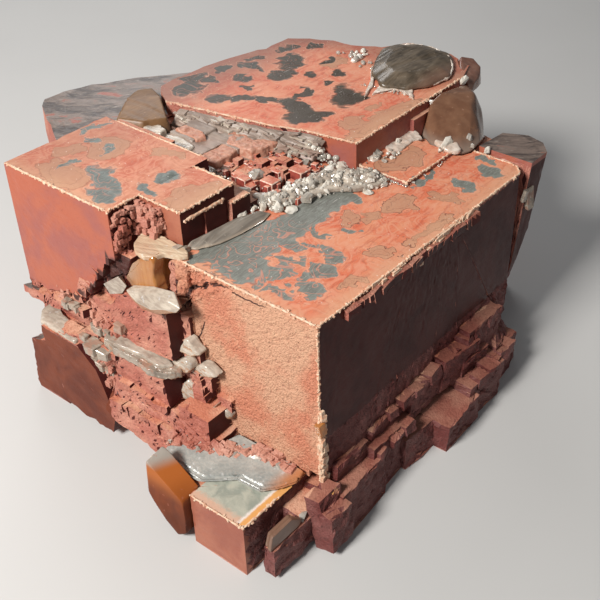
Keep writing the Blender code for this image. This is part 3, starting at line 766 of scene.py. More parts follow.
MAIN_TAN = (
    (21.5, 38.6, 2.6, 2.8, 0), (18.0, 43.4, 1.9, 3.6, 0), (15.5, 52.0, 4.4, 5.0, 0),
    (6.0, 31.0, 3.6, 3.8, 0), (3.0, 46.0, 1.8, 9.0, 0), (4.0, 18.0, 2.0, 3.0, 0),
    (8.4, 62.0, 3.0, 2.2, 0), (27.0, 71.0, 5.0, 8.0, 0),
)
LEFT_DARK = (
    (58.6, 14.2, 3.0, 2.8, 0), (69.5, 4.4, 8.6, 2.7, 24), (57.6, 7.4, 3.8, 1.3, 10),
    (63.5, -1.8, 5.0, 2.2, 10), (80.5, 14.8, 1.6, 2.4, 0), (87, 16.4, 2.8, 1.6, 0), (92.6, 21, 1.4, 5, 0),
    (82.5, 3, 1.2, 3.4, 0),
)
LEFT_TAN = (
    (79.0, 0.0, 9.0, 5.0, 0), (81.0, 16.0, 5.4, 6.4, 0), (88.0, 8.0, 3.0, 5.0, 0),
    (47.6, 12.0, 3.4, 9.0, 0), (67.0, 23.4, 5.2, 1.9, 0),
)
UPPER_DARK = (
    (55.0, 62.8, 4.4, 6.4, 30), (62.4, 66.0, 6.4, 3.2, 10), (64.6, 73.4, 1.7, 4.4, 0),
    (66.2, 76.4, 2.2, 1.4, 0), (71.6, 64.4, 5.0, 2.0, -12), (77.4, 60.6, 3.4, 2.3, -40),
    (82.4, 56.4, 3.6, 3.4, 0), (54.6, 80.2, 7.2, 4.6, 45), (78.6, 80.6, 3.2, 5.0, 0),
    (83.0, 89.6, 3.8, 6.2, -30), (66.2, 91.2, 2.8, 2.8, 0), (89.6, 79.8, 5.2, 2.1, 0),
    (93.6, 85.4, 2.4, 3.4, 0), (86.6, 71.8, 3.4, 2.6, 25), (80.4, 67.4, 1.9, 1.8, 0),
    (92.4, 64.8, 2.6, 2.6, 30), (93.6, 55.6, 4.8, 5.0, 0), (95.6, 73.0, 1.9, 3.4, 0),
    (91.4, 96.2, 2.4, 3.2, 0), (85.0, 103.0, 2.0, 2.8, 0), (71.8, 86.0, 2.6, 1.6, 0),
    (64.8, 82.6, 1.0, 1.8, 0), (97.0, 61.0, 2.4, 4.4, 0), (75.2, 96.6, 1.3, 3.2, 0),
)
UPPER_TAN = (
    (37.5, 74.0, 3.2, 18.0, 0), (43.0, 68.0, 3.4, 3.4, 0), (44.0, 78.0, 1.6, 2.2, 0),
    (72.0, 96.0, 3.0, 4.0, 0),
)


# %% Patches as ovals pushed about by noise
def oval_field(made, ovals, warp):
    """Under 1 inside any of the ovals, with their outlines pushed about by the warp."""
    place = made.shift(made.uv, warp)
    nearest = None
    for u, v, along, across, turn in ovals:
        away = made.from_oval(place, (u, v), (along, across), turn)
        nearest = nearest.maths("SMOOTH_MIN", nearest, away, 0.25) if nearest else away
    return nearest


def near_edges(made, u_edge, v_edge):
    """1 at a top's front edges and 0 at 7 mm from them."""
    return (made.u - u_edge).at_most(made.v - v_edge).rise(7, 0)


# %% [markdown]
# ### Growth layers
#
# The red of a top is laid on like brush strokes, in soft bands between one growth layer and the next. A
# noise field times a whole number, with only the part after the point kept, gives such bands for free:
# its lines are as winding as the noise, and they never cross.

# %% Red growth and contour lines
GROWTH_PINK = (0.72, 0.36, 0.24)
PALE_STROKE = (0.70, 0.32, 0.20)
DEEP_STROKE = (0.42, 0.075, 0.04)
PALE_FLECK = (0.74, 0.46, 0.34)
TAN = (0.47, 0.26, 0.16)
WORN_EDGE = (0.64, 0.36, 0.22)
BACK_SHADE_RED = (0.20, 0.10, 0.08)
CONTOUR_INK = (0.17, 0.07, 0.045)
PINK_WEB = (0.56, 0.24, 0.17)
SLATE_RIM = (0.10, 0.06, 0.05)
PINK_HALO = (0.68, 0.36, 0.25)
OUTER_LINE = (0.25, 0.10, 0.07)
WHITE_SPECK = (0.85, 0.80, 0.74)


def red_growth(made, reds, clouds, layers, fine):
    """A top's red: clouds of two reds, soft bands between growth layers, brush strokes and pale flecks."""
    strokes = made.noise(made.scale(made.uv, (1.0, 0.28, 1)), 0.62, 3, 0.6, 0.8)
    bands = (layers * 9 + strokes * 0.8).wrapped()
    colour = made.mix(clouds.rise(0.35, 0.62), *reds)
    colour = made.mix(bands.band(0.3, 0.75, 0.22) * 0.42, colour, GROWTH_PINK)
    colour = made.mix(strokes.rise(0.50, 0.66) * 0.40, colour, PALE_STROKE)
    colour = made.mix(strokes.rise(0.46, 0.34) * 0.40, colour, DEEP_STROKE)
    return made.mix(fine.rise(0.56, 0.70) * 0.30, colour, PALE_FLECK)


def contour_lines(tan_field, layers, clouds):
    """Thin lines round the tan patches and along the growth layers, like a map's."""
    round_tan = tan_field.band(0.98, 1.03, 0.03) + tan_field.band(0.60, 0.64, 0.03) * 0.6
    round_tan = round_tan + tan_field.band(1.3, 1.33, 0.03) * 0.3
    return round_tan + (layers * 13).wrapped().band(0.485, 0.515, 0.03) * clouds.rise(0.62, 0.42) * 0.55


# %% The material of a flat top
def slate_patches(made, colour, field, mask, meander, sheen_streaks, slate, web):
    """Slate patches with a pale web on them, a dark rim, a pink halo and a thin line round it all."""
    # lighter streaks on the slate: partly its own colour, partly painted sheen
    tone = made.mix(sheen_streaks.rise(0.38, 0.72), slate, lighter(slate, 1.8))
    tone = made.mix(field.rise(0.45, 1.1) * 0.45, tone, lighter(slate, 2.2))
    colour = made.mix(mask * 0.95, colour, tone)
    colour = made.mix(meander * mask * web * 0.8, colour, PINK_WEB)
    colour = made.mix(field.band(1.0, 1.02, 0.02) * 0.6, colour, SLATE_RIM)
    colour = made.mix(field.band(1.07, 1.14, 0.03) * 0.55, colour, PINK_HALO)
    return made.mix(field.band(1.24, 1.27, 0.025) * 0.35, colour, OUTER_LINE)


def top_stone(name, dark, tan, slate, reds, edges, web, painted_shade, soft, ink, streaky, warps):
    """A flat top.

    edges are the levels of its front edges. web gives the field for the pale web on the slate, and gloom
    the field of painted shade that dulls the red towards the back. soft is how far the slate fades out, ink
    how dark the contours are and streaky how far the slate's outline is drawn out from front left to rear
    right.
    """
    made = Recipe(name)
    warp = made.shift(pushed(made, *warps[0]), pushed(made, *warps[1]))
    smears = made.noise(made.vector(made.u + made.v, (made.v - made.u) * 0.25, 0.0), 0.33, 2, 0.5, 0.4)
    dark_field = oval_field(made, dark, warp) + (smears - 0.5) * streaky
    tan_field = oval_field(made, tan, warp)
    clouds = made.noise(made.uv, 0.10, 3, 0.55, 0.8)
    layers = made.noise(made.uv, 0.085, 2, 0.5, 1.4)
    fine = made.noise(made.mm, 1.6, 4, 0.65)
    # streaks along u: in the colour partly painted sheen, and raised in the bump too
    sheen_streaks = made.noise(made.scale(made.uv, (2.2, 0.3, 1)), 1.0, 4, 0.7)
    lines = contour_lines(tan_field, layers, clouds)
    colour = red_growth(made, reds, clouds, layers, fine)
    colour = made.mix(tan_field.rise(1.10, 0.90) * 0.75, colour, TAN)
    colour = made.mix(near_edges(made, *edges) * 0.6, colour, WORN_EDGE)
    # painted shade: the red dulls towards the back, which lies in shadow
    colour = made.mix(painted_shade(made), colour, BACK_SHADE_RED)
    colour = made.mix(lines.at_most(0.9) * ink, colour, CONTOUR_INK)

    mask = dark_field.rise(1.0 + soft, 1.0 - soft)
    meander = (made.noise(made.uv, 0.16, 1.5, 0.5, 1.1) * 6).wrapped().band(0.40, 0.56, 0.06)
    colour = slate_patches(made, colour, dark_field, mask, meander, sheen_streaks, slate, web(made))

    specks = made.grains(made.mm, 0.75).rise(0.13, 0.07) * fine.rise(0.45, 0.6)
    scratches = made.noise(made.scale(made.uv, (3.2, 0.22, 1)), 0.8, 2, 0.5).rise(0.70, 0.76) * mask
    colour = made.mix((specks + scratches * 0.6) * 0.8, colour, WHITE_SPECK)
    height = fine * 0.05 - mask * 0.06 - lines * 0.05 + sheen_streaks * 0.05 + meander * mask * 0.04
    values = {
        "Base Color": colour,
        "Roughness": 0.42 - mask * 0.10 + fine * 0.10,
        "Normal": made.bump(height, 0.8),
        "Specular IOR Level": 0.27,
    }
    return made.finish(values)


# %% The three flat tops
TOPS = {
    "main_top": dict(
        dark=MAIN_DARK, tan=MAIN_TAN, slate=(0.125, 0.145, 0.13), edges=(0, -1.5),
        reds=((0.65, 0.155, 0.075), (0.70, 0.265, 0.145)), soft=0.05, ink=0.9, streaky=0.5,
        web=lambda made: made.v.rise(34, 22) * made.u.rise(38, 34),
        painted_shade=lambda made: made.u.rise(60, 61),
        warps=((0.13, 9, 1), (0.42, 4, 1.5)),
    ),
    "left_top": dict(
        dark=LEFT_DARK, tan=LEFT_TAN, slate=(0.098, 0.125, 0.118), edges=(42.5, -6),
        reds=((0.54, 0.15, 0.085), (0.56, 0.22, 0.13)), soft=0.16, ink=0.4, streaky=0.5,
        web=lambda made: made.u.rise(60, 66) * 0.6,
        painted_shade=lambda made: made.u.rise(72, 86) * 0.25,
        warps=((0.13, 7, 1), (0.42, 3.5, 1.5)),
    ),
    "upper_top": dict(
        dark=UPPER_DARK, tan=UPPER_TAN, slate=(0.022, 0.026, 0.019), edges=(34, 40),
        reds=((0.63, 0.15, 0.082), (0.69, 0.26, 0.155)), soft=0.17, ink=0.6, streaky=0.8,
        web=lambda made: made.u.rise(74, 90) * 0.5,
        painted_shade=lambda made: (made.u.rise(76, 98) + made.v.rise(98, 112) * 0.7).at_most(1.0) * 0.75,
        warps=((0.12, 7, 1), (0.34, 4.5, 1.2)),
    ),
}
tops = {name: top_stone(name + "_stone", **how) for name, how in TOPS.items()}
print("tops:", ", ".join(tops))


# %% Rear and foot
def rear_stone():
    """The low rear blocks: dark grey-brown, streaked along their length, with a strip of plain red."""
    made = Recipe("rear_stone")
    streaks = made.noise(made.scale(made.mm, (0.35, 1.0, 1.0)), 0.30, 4, 0.65, 0.6)
    fine = made.noise(made.scale(made.mm, (0.2, 1.0, 1.0)), 1.5, 3, 0.6)
    colour = made.mix(streaks.rise(0.35, 0.6), (0.06, 0.045, 0.04), (0.20, 0.15, 0.125))
    colour = made.mix(streaks.rise(0.6, 0.66), colour, (0.30, 0.09, 0.06))
    colour = made.mix(fine.rise(0.6, 0.75) * 0.5, colour, (0.55, 0.48, 0.42))
    values = {
        "Base Color": colour,
        "Roughness": fine * 0.2 + 0.24,
        "Normal": made.bump(fine * 0.25 + streaks * 0.4, 0.7),
    }
    return made.finish(values)


def foot_stone():
    """The foot's top: glassy grey-green, pink and grainy along its left edge, amber along its right one."""
    made = Recipe("foot_top_stone")
    clouds = made.noise(made.mm, 0.25, 3, 0.55, 0.4)
    fine = made.noise(made.mm, 1.3, 3, 0.6)
    colour = made.mix(clouds.rise(0.35, 0.65), (0.30, 0.32, 0.27), (0.46, 0.46, 0.38))
    colour = made.mix((made.v + fine * 3).rise(-17.2, -19.4), colour, (0.62, 0.40, 0.29))
    colour = made.mix((made.u + fine * 1.2).rise(8.1, 7.3), colour, (0.80, 0.72, 0.66))
    colour = made.mix((made.u + fine * 0.8).rise(7.2, 6.6), colour, (0.72, 0.36, 0.12))
    normal = made.bump(fine * 0.12 + clouds * 0.3, 0.6)
    return made.finish({"Base Color": colour, "Roughness": clouds * 0.2 + 0.14, "Normal": normal})


RED_FINISHES = {
    "rough": rough_side, "main": main_face, "wall": satin["shaded_wall"], "smooth": satin["smooth_side"],
    "lumps": shaded_lump_stone, "cleaved": satin["cleaved_side"], "low": satin["shaded_low_side"], "ledge": ledge_top,
    "dim_ledge": shaded_ledge_top, "foot_top": foot_stone(), **tops, "rear": rear_stone(),
}
print(len(RED_FINISHES), "finishes for the red mass")


# %% Give each face of the red mass its finish
SHARP_FROM = math.radians(38)  # edges sharper than this stay hard
SHADED_LOW_BOX = dict(u=(61, FAR), w=(30, FAR))
TOP_BOXES = (
    # finish, and the box of the faces looking up that wear it; a later row wins
    ("ledge", dict()),
    # painted shade on the low steps' tops on the right
    ("dim_ledge", dict(u=(-FAR, -0.5))),
    ("foot_top", dict(u=(-FAR, 21.5), v=(-FAR, 1), w=(FOOT_TOP - 0.4, FOOT_TOP + 0.4))),
    ("main_top", dict(w=(MAIN_TOP - 0.25, MAIN_TOP + 0.25))),
    ("main_top", dict(u=(-FAR, 38), v=(58, FAR), w=(SLAB_TOP - 0.5, SLAB_TOP + 0.2))),
    ("left_top", dict(u=(43, FAR), v=(-FAR, 30), w=(-FAR, -6.8))),
    ("upper_top", dict(v=(44, FAR), w=(-FAR, -7))),
    ("rear", dict(u=(92, FAR), w=(-5, FAR))),
    ("rear", dict(u=(-FAR, 16), v=(88, FAR))),
)


def dress_red_rock(mesh):
    """Give each triangle the number of its finish."""
    for material in RED_FINISHES.values():
        mesh.materials.append(material)
    number = {name: index for index, name in enumerate(RED_FINISHES)}
    count = len(mesh.polygons)
    middles = np.empty(count * 3)
    normals = np.empty(count * 3)
    mesh.polygons.foreach_get("center", middles)
    mesh.polygons.foreach_get("normal", normals)
    places = lattice_places(middles.reshape(-1, 3))
    zones = stone_zones(places, normals.reshape(-1, 3))
    chosen = np.zeros(count, np.int32)
    for name in ("wall", "main", "smooth", "lumps", "cleaved"):
        chosen[zones[name]] = number[name]
    # cleaved faces low on the left wear the copy darkened with painted shade
    chosen[zones["cleaved"] & inside(places, SHADED_LOW_BOX)] = number["low"]
    for name, box in TOP_BOXES:
        chosen[zones["top"] & inside(places, box)] = number[name]
    mesh.polygons.foreach_set("material_index", chosen)


dress_red_rock(red_rock.data)
red_rock.data.set_sharp_from_angle(angle=SHARP_FROM)

# %% [markdown]
# ## The later crystals
#
# Each later crystal stands in a pocket of the red mass. Its solid has flat facets; the real one has fine
# growth lines across them and edges worn a little round. So each solid is cut finer, its edges are eased
# by letting every corner drift towards its neighbours, and ridges are raised along the direction in which
# that crystal grew.


# %% Ease edges, raise ridges
def eased(points, triangles, rounds, share=0.5):
    """Let each corner drift towards the middle of its neighbours, which rounds edges."""
    starts = triangles.ravel()
    stops = np.roll(triangles, -1, axis=1).ravel()
    for _ in range(rounds):
        count = np.bincount(starts, minlength=len(points))
        total = np.stack([np.bincount(starts, points[stops, axis], len(points)) for axis in range(3)], axis=1)
        middle = total / np.maximum(count, 1)[:, None]
        points = points + (middle - points) * share
    return points


def ridges(along, width, seed):
    """Heights of fine growth lines: noise that changes only across their direction."""
    return noise(np.stack([along / width, along * 0.13 / width, along * 0], axis=1), seed)


# %% A crystal from its solid
def crystal(name, slot, stone, longest, rounds, height=None):
    """A piece made from one solid, with the height function's ridges raised on it."""
    points, triangles = refined(*take(name), lambda places, normals: np.full(len(places), longest))
    if name in HELD_BACK:
        short = np.maximum(HELD_BACK[name] - lattice_places(points)[:, 0], 0)
        points = points + short[:, None] * np.array(EDGES.col[0]) * MM
    points = eased(points, triangles, rounds)
    if height:
        normals = corner_normals(points, triangles)
        points = points + normals * height(lattice_places(points))[:, None] * MM
    mesh = mesh_from(name + "_piece", in_box(points), triangles, smooth=True)
    mesh.materials.append(clear[stone])
    return make_piece(name + "_piece", mesh, [name])


def add_underside(piece, material, level):
    """Another material on the faces whose normal rises less than the level: those looking down or out."""
    mesh = piece.data
    normals = np.empty(len(mesh.polygons) * 3)
    mesh.polygons.foreach_get("normal", normals)
    mesh.materials.append(material)
    mesh.polygons.foreach_set("material_index", (normals.reshape(-1, 3)[:, 2] < level).astype(np.int32))


# %% [markdown]
# ## Clear stuff
#
# Calcite bends light strongly (its index is 1.66) and its colour sits in the body, so a thin edge is pale
# and a thick middle deep. That is the job of absorption inside the mesh. Part of the light is scattered by
# tiny flaws, so the shader is a blend: mostly see-through, with a little milky surface colour in streaks.


# %% The material of a crystal
CALCITE_INDEX = 1.66
# body colours: the tint that light takes on inside, and how densely
HONEY = ((1.0, 0.62, 0.28), 90)
ORANGE = ((1.0, 0.5, 0.2), 110)
SMOKE = ((0.95, 0.75, 0.55), 60)
OLIVE = ((0.95, 0.85, 0.55), 60)
APRICOT = ((1.0, 0.85, 0.7), 40)
CREAM = ((0.97, 0.93, 0.85), 30)
WHITE = ((0.97, 0.95, 0.9), 30)
GREY = ((0.95, 0.93, 0.9), 30)
DIM_GREY = ((0.9, 0.88, 0.8), 30)
WATER = ((1, 0.98, 0.94), 20)
SILVER = ((1, 0.99, 0.97), 5)


def clear_stone(name, deep, bright, body, see_through, roughness, stretch, depth, tips=(), shine=0.5):
    """A crystal of clear or milky calcite.

    stretch squeezes the growth lines along u, v and w, and depth is their height. tips are colours, each
    with the field that says where it is.
    """
    made = Recipe(name)
    lines = made.noise(made.scale(made.uvw, stretch), 0.9, 3, 0.55, 0.2)
    clouds = made.noise(made.mm, 0.13, 2, 0.5, 0.5)
    share = clouds.rise(0.32, 0.66) * 0.55 + lines.rise(0.36, 0.66) * 0.45
    colour = made.mix(share, deep, bright)
    for tip_colour, where in tips:
        colour = made.mix(where(made), colour, tip_colour)
    flaws = made.noise(made.mm, 0.7, 2, 0.5).rise(0.66, 0.72) * 0.35
    colour = made.mix(flaws, colour, lighter(bright, 1.6, 0.1, 0.9))
    values = {
        "Base Color": colour,
        "Roughness": clouds * 0.12 + roughness,
        "Transmission Weight": see_through,
        "IOR": CALCITE_INDEX,
        "Specular IOR Level": shine,
        "Normal": made.bump(lines * depth, 0.5),
    }
    tint, density = body
    return made.finish(values, density, tint)


# %% The clear stones
CLEAR_STONES = {
    # deep and bright colour, body, see-through, roughness, stretch and depth of the growth lines
    "amber": ((0.56, 0.20, 0.05), (0.68, 0.31, 0.10), HONEY, 0.4, 0.08, (2.0, 2.0, 0.10), 0.12),
    "deep_amber": ((0.115, 0.022, 0.005), (0.21, 0.045, 0.010), ORANGE, 0.15, 0.30, (0.4, 0.4, 0.2), 0.05),
    "smoky": ((0.20, 0.085, 0.045), (0.34, 0.17, 0.095), SMOKE, 0.35, 0.06, (0.4, 0.4, 0.3), 0.05),
    "tip": ((0.24, 0.09, 0.06), (0.38, 0.20, 0.14), SMOKE, 0.35, 0.08, (0.6, 0.6, 0.6), 0.1),
    "olive": ((0.17, 0.075, 0.02), (0.30, 0.15, 0.055), OLIVE, 0.2, 0.42, (1.6, 0.3, 1), 0.15),
    "plate": ((0.06, 0.042, 0.024), (0.24, 0.18, 0.12), DIM_GREY, 0.35, 0.26, (1.6, 0.25, 1), 0.10),
    "grey": ((0.25, 0.21, 0.17), (0.50, 0.44, 0.37), GREY, 0.35, 0.14, (2.2, 0.12, 1), 0.2),
    "band": ((0.22, 0.15, 0.115), (0.42, 0.33, 0.27), GREY, 0.15, 0.42, (0.16, 1.5, 1.8), 0.3),
    "milky": ((0.38, 0.30, 0.24), (0.78, 0.68, 0.56), WHITE, 0.25, 0.18, (0.5, 1.2, 1.4), 0.2),
    "stepped": ((0.26, 0.205, 0.16), (0.62, 0.52, 0.42), WHITE, 0.25, 0.14, (0.35, 1.2, 1.4), 0.2),
    "sliver": ((0.62, 0.46, 0.36), (0.88, 0.78, 0.68), WHITE, 0.1, 0.2, (0.6, 1.2, 1.4), 0.2),
    "rim": ((0.40, 0.19, 0.10), (0.62, 0.38, 0.24), APRICOT, 0.2, 0.2, (0.25, 1.5, 3.0), 0.3),
    "foot_ledge": ((0.35, 0.37, 0.35), (0.58, 0.57, 0.52), WHITE, 0.2, 0.2, (1.4, 1.4, 1.4), 0.2),
    "pale": ((0.62, 0.36, 0.22), (0.84, 0.68, 0.48), CREAM, 0.2, 0.3, (0.3, 2.6, 1.4), 0.3),
    # painted highlight in part: the white beads' pale colour stands in for their shine
    "silver": ((0.64, 0.56, 0.46), (0.94, 0.91, 0.83), SILVER, 0.12, 0.05, (0.6, 0.6, 0.6), 0.05),
    "water": ((0.55, 0.49, 0.41), (0.85, 0.80, 0.72), WATER, 0.5, 0.03, (0.6, 0.6, 0.6), 0.05),
}
TIPS = {
    "amber": [((0.50, 0.36, 0.27), lambda made: (made.u - made.w * 0.4).rise(46.5, 52.5) * 0.7)],
    "deep_amber": [
        ((0.46, 0.13, 0.025), lambda made: made.w.rise(50, 43)),
        ((0.38, 0.37, 0.33), lambda made: made.w.rise(42.4, 40.4) * 0.9),
    ],
    "smoky": [((0.46, 0.36, 0.29), lambda made: made.w.rise(-3.6, 0.2) * 0.9)],
    "olive": [((0.10, 0.05, 0.03), lambda made: made.w.rise(-7.4, -5.0) * 0.7)],
    "plate": [((0.34, 0.18, 0.12), lambda made: made.u.rise(44, 38) * 0.75)],
    "grey": [((0.66, 0.54, 0.42), lambda made: made.w.rise(-0.9, -0.5) * 0.8)],
    "band": [((0.42, 0.26, 0.20), lambda made: made.w.rise(-5.6, -4.9) * 0.5)],
    "stepped": [((0.48, 0.27, 0.19), lambda made: made.noise(made.mm, 0.3, 2).rise(0.53, 0.60) * 0.75)],
    "foot_ledge": [((0.62, 0.22, 0.07), lambda made: made.u.rise(10, 5) * 0.9)],
}
DULL_SHINE = {"deep_amber": 0.1}
clear = {
    name: clear_stone(name + "_stone", *row, tips=TIPS.get(name, ()), shine=DULL_SHINE.get(name, 0.5))
    for name, row in CLEAR_STONES.items()
}
print(len(clear), "clear stones:", ", ".join(clear))

# %% Grow the crystals over their solids
HELD_BACK = {"amber_crystal": 45.4}  # least u that a crystal's corners keep
FOOT_LEDGE_FRONT = (
    # (u, v) along the front edge of the foot's pale ledge
    (3.4, -4.2), (8.4, -11.6), (11.6, -12.0), (15.1, -12.2), (21.8, -17.9), (34, -18.1),
)


def crust_height(p):
    """Long growth steps along the bank, and lumps across it."""
    return 0.12 * ridges(p[:, 2] + 0.25 * p[:, 0], 0.8, 11) + 0.35 * fractal(p / (7, 3, 3), 3, 3)


def foot_ledge_height(p):
    """A step down along the front edge, and ripples."""
    front = np.interp(p[:, 0], *zip(*FOOT_LEDGE_FRONT))
    return -0.45 * (p[:, 1] < front + 1.5) + 0.10 * fractal(p / 4, 3, 13)


CRYSTALS = (
    # solid, slot, stone, longest edge, rounds of easing, height of its ridges over the places p
    ("amber_crystal", "amber_calcite", "amber", 0.5, 3, lambda p: 0.10 * ridges(p[:, 0], 1.1, 3)),
    ("foot_amber_crystal", "amber_calcite", "deep_amber", 0.7, 3, lambda p: 0.10 * fractal(p / 6, 2, 9)),
    ("smoky_crystal", "smoky_calcite", "smoky", 0.8, 7, lambda p: 0.25 * fractal(p / 7, 2, 5)),
    ("brown_tip_crystal", "smoky_calcite", "tip", 0.7, 2, lambda p: 0.15 * fractal(p / 3, 2, 6)),
    ("olive_crystal", "amber_calcite", "olive", 0.7, 2, lambda p: 0.10 * ridges(p[:, 1], 1.3, 7)),
    (
        "clear_plate", "clear_calcite", "plate", 0.8, 6,
        lambda p: 0.16 * ridges(p[:, 0] + 0.3 * p[:, 1], 1.3, 8) + 0.25 * fractal(p / 5, 2, 8),
    ),
    ("grey_blade", "clear_calcite", "grey", 0.45, 2, lambda p: 0.30 * ridges(p[:, 0], 0.8, 10)),
    ("foot_blade", "clear_calcite", "plate", 0.5, 1, lambda p: 0.12 * ridges(p[:, 0], 0.8, 16)),
    ("grey_crust", "clear_calcite", "band", 0.7, 1, crust_height),
    (
        "striated_plate", "pale_calcite", "pale", 0.5, 1,
        lambda p: 0.13 * ridges(p[:, 1] + 0.45 * p[:, 0], 0.62, 12),
    ),
    ("foot_ledge", "pale_calcite", "foot_ledge", 0.7, 1, foot_ledge_height),
    (
        "shell_ledge", "pale_calcite", "milky", 0.4, 3,
        lambda p: 0.10 * ridges(p[:, 2] - 0.2 * p[:, 0], 1.2, 14),
    ),
    ("small_shell", "amber_calcite", "milky", 0.4, 1),
    (
        "stepped_ledge", "pale_calcite", "stepped", 0.6, 1,
        lambda p: 0.30 * cells(p / (3.1, 1.7, 5), 15) + 0.18 * fractal(p / 2.5, 3, 15),
    ),
    ("druse", "silvery_calcite", "milky", 0.8, 2),
)
UNDERSIDES = {"shell_ledge": 0.02, "small_shell": 0.02, "stepped_ledge": 0.1}
for name, *how in CRYSTALS:
    piece = crystal(name, *how)
    if name in UNDERSIDES:
        add_underside(piece, clear["rim"], UNDERSIDES[name])

# %% [markdown]
# ## Pale crusted edges
#
# Along the tops' edges the red stone carries a thin rim of pale granular calcite, a millimetre wide. It is
# a tube drawn along each edge, swollen and pinched by noise so that it reads as a row of fused grains.


# %% A tube of grains
def walked(path, spacing):
    """Evenly spaced places in metres along lattice places."""
    stops = np.array([LATTICE @ Vector(place) for place in path])
    far = np.concatenate([[0], np.cumsum(np.linalg.norm(np.diff(stops, axis=0), axis=1))])
    steps = np.linspace(0, far[-1], max(4, int(far[-1] / (spacing * MM))))
    return np.stack([np.interp(steps, far, stops[:, axis]) for axis in range(3)], axis=1)


def tube(path, radius, seed, spacing=0.42, sides=7, lumpy=0.45):
    """Corners and triangles of a lumpy tube along lattice places, with pointed ends."""
    centres = walked(path, spacing)
    rings = len(centres)
    ahead = np.gradient(centres, axis=0)
    ahead /= np.linalg.norm(ahead, axis=1, keepdims=True)
    up = np.array((0.0, 0.0, 1.0)) if abs(ahead[0, 2]) < 0.8 else np.array((1.0, 0.0, 0.0))
    across = np.cross(ahead, up)
    across /= np.linalg.norm(across, axis=1, keepdims=True)
    lift = np.cross(across, ahead)
    turns = np.arange(sides) * math.tau / sides
    around = across[:, None] * np.cos(turns)[None, :, None] + lift[:, None] * np.sin(turns)[None, :, None]
    from_end = np.minimum(np.arange(rings), np.arange(rings)[::-1])
    thick = radius * MM * (1 + 0.35 * noise(centres * 900, seed)) * np.clip(from_end / 3 + 0.1, 0, 1)
    points = (centres[:, None] + around * thick[:, None, None]).reshape(-1, 3)
    push = 1 + lumpy * noise(points / MM * 1.7, seed + 1) + lumpy / 2 * noise(points / MM * 3.9, seed + 2)
    middle = np.repeat(centres, sides, axis=0)
    points = middle + (points - middle) * push[:, None]
    ring, side = (part.ravel() for part in np.meshgrid(np.arange(rings - 1), np.arange(sides), indexing="ij"))
    a, b = ring * sides + side, ring * sides + (side + 1) % sides
    fan = np.stack([np.zeros(sides - 2, int), np.arange(1, sides - 1), np.arange(2, sides)], axis=1)
    caps = [fan[:, ::-1], fan + (rings - 1) * sides]
    walls = [np.stack([a, b, b + sides], axis=1), np.stack([a, b + sides, a + sides], axis=1)]
    return points, np.vstack(walls + caps)


# %% Many shapes as one piece
def joined(shapes):
    """Several (corners, triangles) as one."""
    offsets = np.cumsum([0] + [len(points) for points, _ in shapes[:-1]])
    triangles = [triangles + offset for (_, triangles), offset in zip(shapes, offsets)]
    return np.vstack([points for points, _ in shapes]), np.vstack(triangles)


def piece_of(name, material, shapes, smooth=False):
    """One piece from many shapes."""
    points, triangles = joined(shapes)
    mesh = mesh_from(name, in_box(points), triangles, smooth)
    mesh.materials.append(material)
    return make_piece(name, mesh)


# %% The rims
RIMS = (
    # radius, then the edge's places
    (0.33, (41.5, 0, -0.1), (20, 0.1, MAIN_TOP), (0.4, 0.1, MAIN_TOP)),
    (
        0.25, (0.1, 0.4, MAIN_TOP), (0, 30, MAIN_TOP), (0, 60, MAIN_TOP), (0, 84.5, MAIN_TOP),
        (2.8, 87.4, MAIN_TOP),
    ),
    (0.24, (3.0, 87.5, MAIN_TOP), (16, 87.5, MAIN_TOP)),
    (0.30, (57.4, -5.3, -9.3), (75, -5.4, LEFT_TOP), (95, -5.3, LEFT_TOP)),
    (0.24, (44.0, 4.3, -9.3), (51, 4.2, LEFT_TOP), (57.4, 4.2, LEFT_TOP)),
    (0.24, (57.4, 4.2, -9.3), (57.4, -5.3, LEFT_TOP)), (0.18, (43.9, 4.4, -9.3), (43.9, 22, -9.3)),
    (0.30, (44.2, 22.2, -9.2), (57.4, 22.3, -9.2)),
    (0.35, (57.6, 27.2, -9.1), (71, 27.4, -9.2), (92, 27.6, -9.2)),
    (0.19, (34.7, 58.6, UPPER_TOP), (35.1, 84, UPPER_TOP), (35.8, 111.5, UPPER_TOP)),
    (
        0.24, (34.7, 58.6, UPPER_TOP), (42.7, 57.3, UPPER_TOP), (50.2, 56, UPPER_TOP),
        (59.1, 52.7, UPPER_TOP), (83, 47.9, UPPER_TOP), (92, 46, UPPER_TOP),
    ),
    (0.19, (19.5, 60.2, SLAB_TOP), (19.5, 81.4, SLAB_TOP)),
    (0.21, (19.5, 60.1, SLAB_TOP), (37, 60.1, SLAB_TOP)),
    (0.26, (4.8, -21.8, FOOT_TOP), (12, -21.9, FOOT_TOP), (21.4, -21.9, FOOT_TOP)),
    (0.33, (4.8, -21.6, FOOT_TOP), (4.8, -9.6, FOOT_TOP)),
    (0.15, (0.1, 0.1, 1), (0, 0, 20), (0.1, 0.1, FOOT_TOP)),
    (0.44, (43.5, 4.8, -7.0), (43.3, 11, -7.1), (43.2, 18.0, -7.0)),
    (0.18, (42.3, 19.5, -5.6), (42.3, 25.6, -5.6)),
)


def crust_stone(name, plain, bright):
    """A dull crust of grains between two colours."""
    made = Recipe(name)
    grains = made.noise(made.mm, 1.1, 3, 0.6)
    colour = made.mix(grains.rise(0.35, 0.62), plain, bright)
    normal = made.bump(grains * 0.3, 0.5)
    return made.finish({"Base Color": colour, "Roughness": grains * 0.2 + 0.35, "Normal": normal})


cream_crust = crust_stone("cream_crust", (0.66, 0.34, 0.21), (0.78, 0.58, 0.42))
tubes = [tube(path, radius, 31 + number) for number, (radius, *path) in enumerate(RIMS)]
piece_of("edge_rims", cream_crust, tubes, smooth=True)

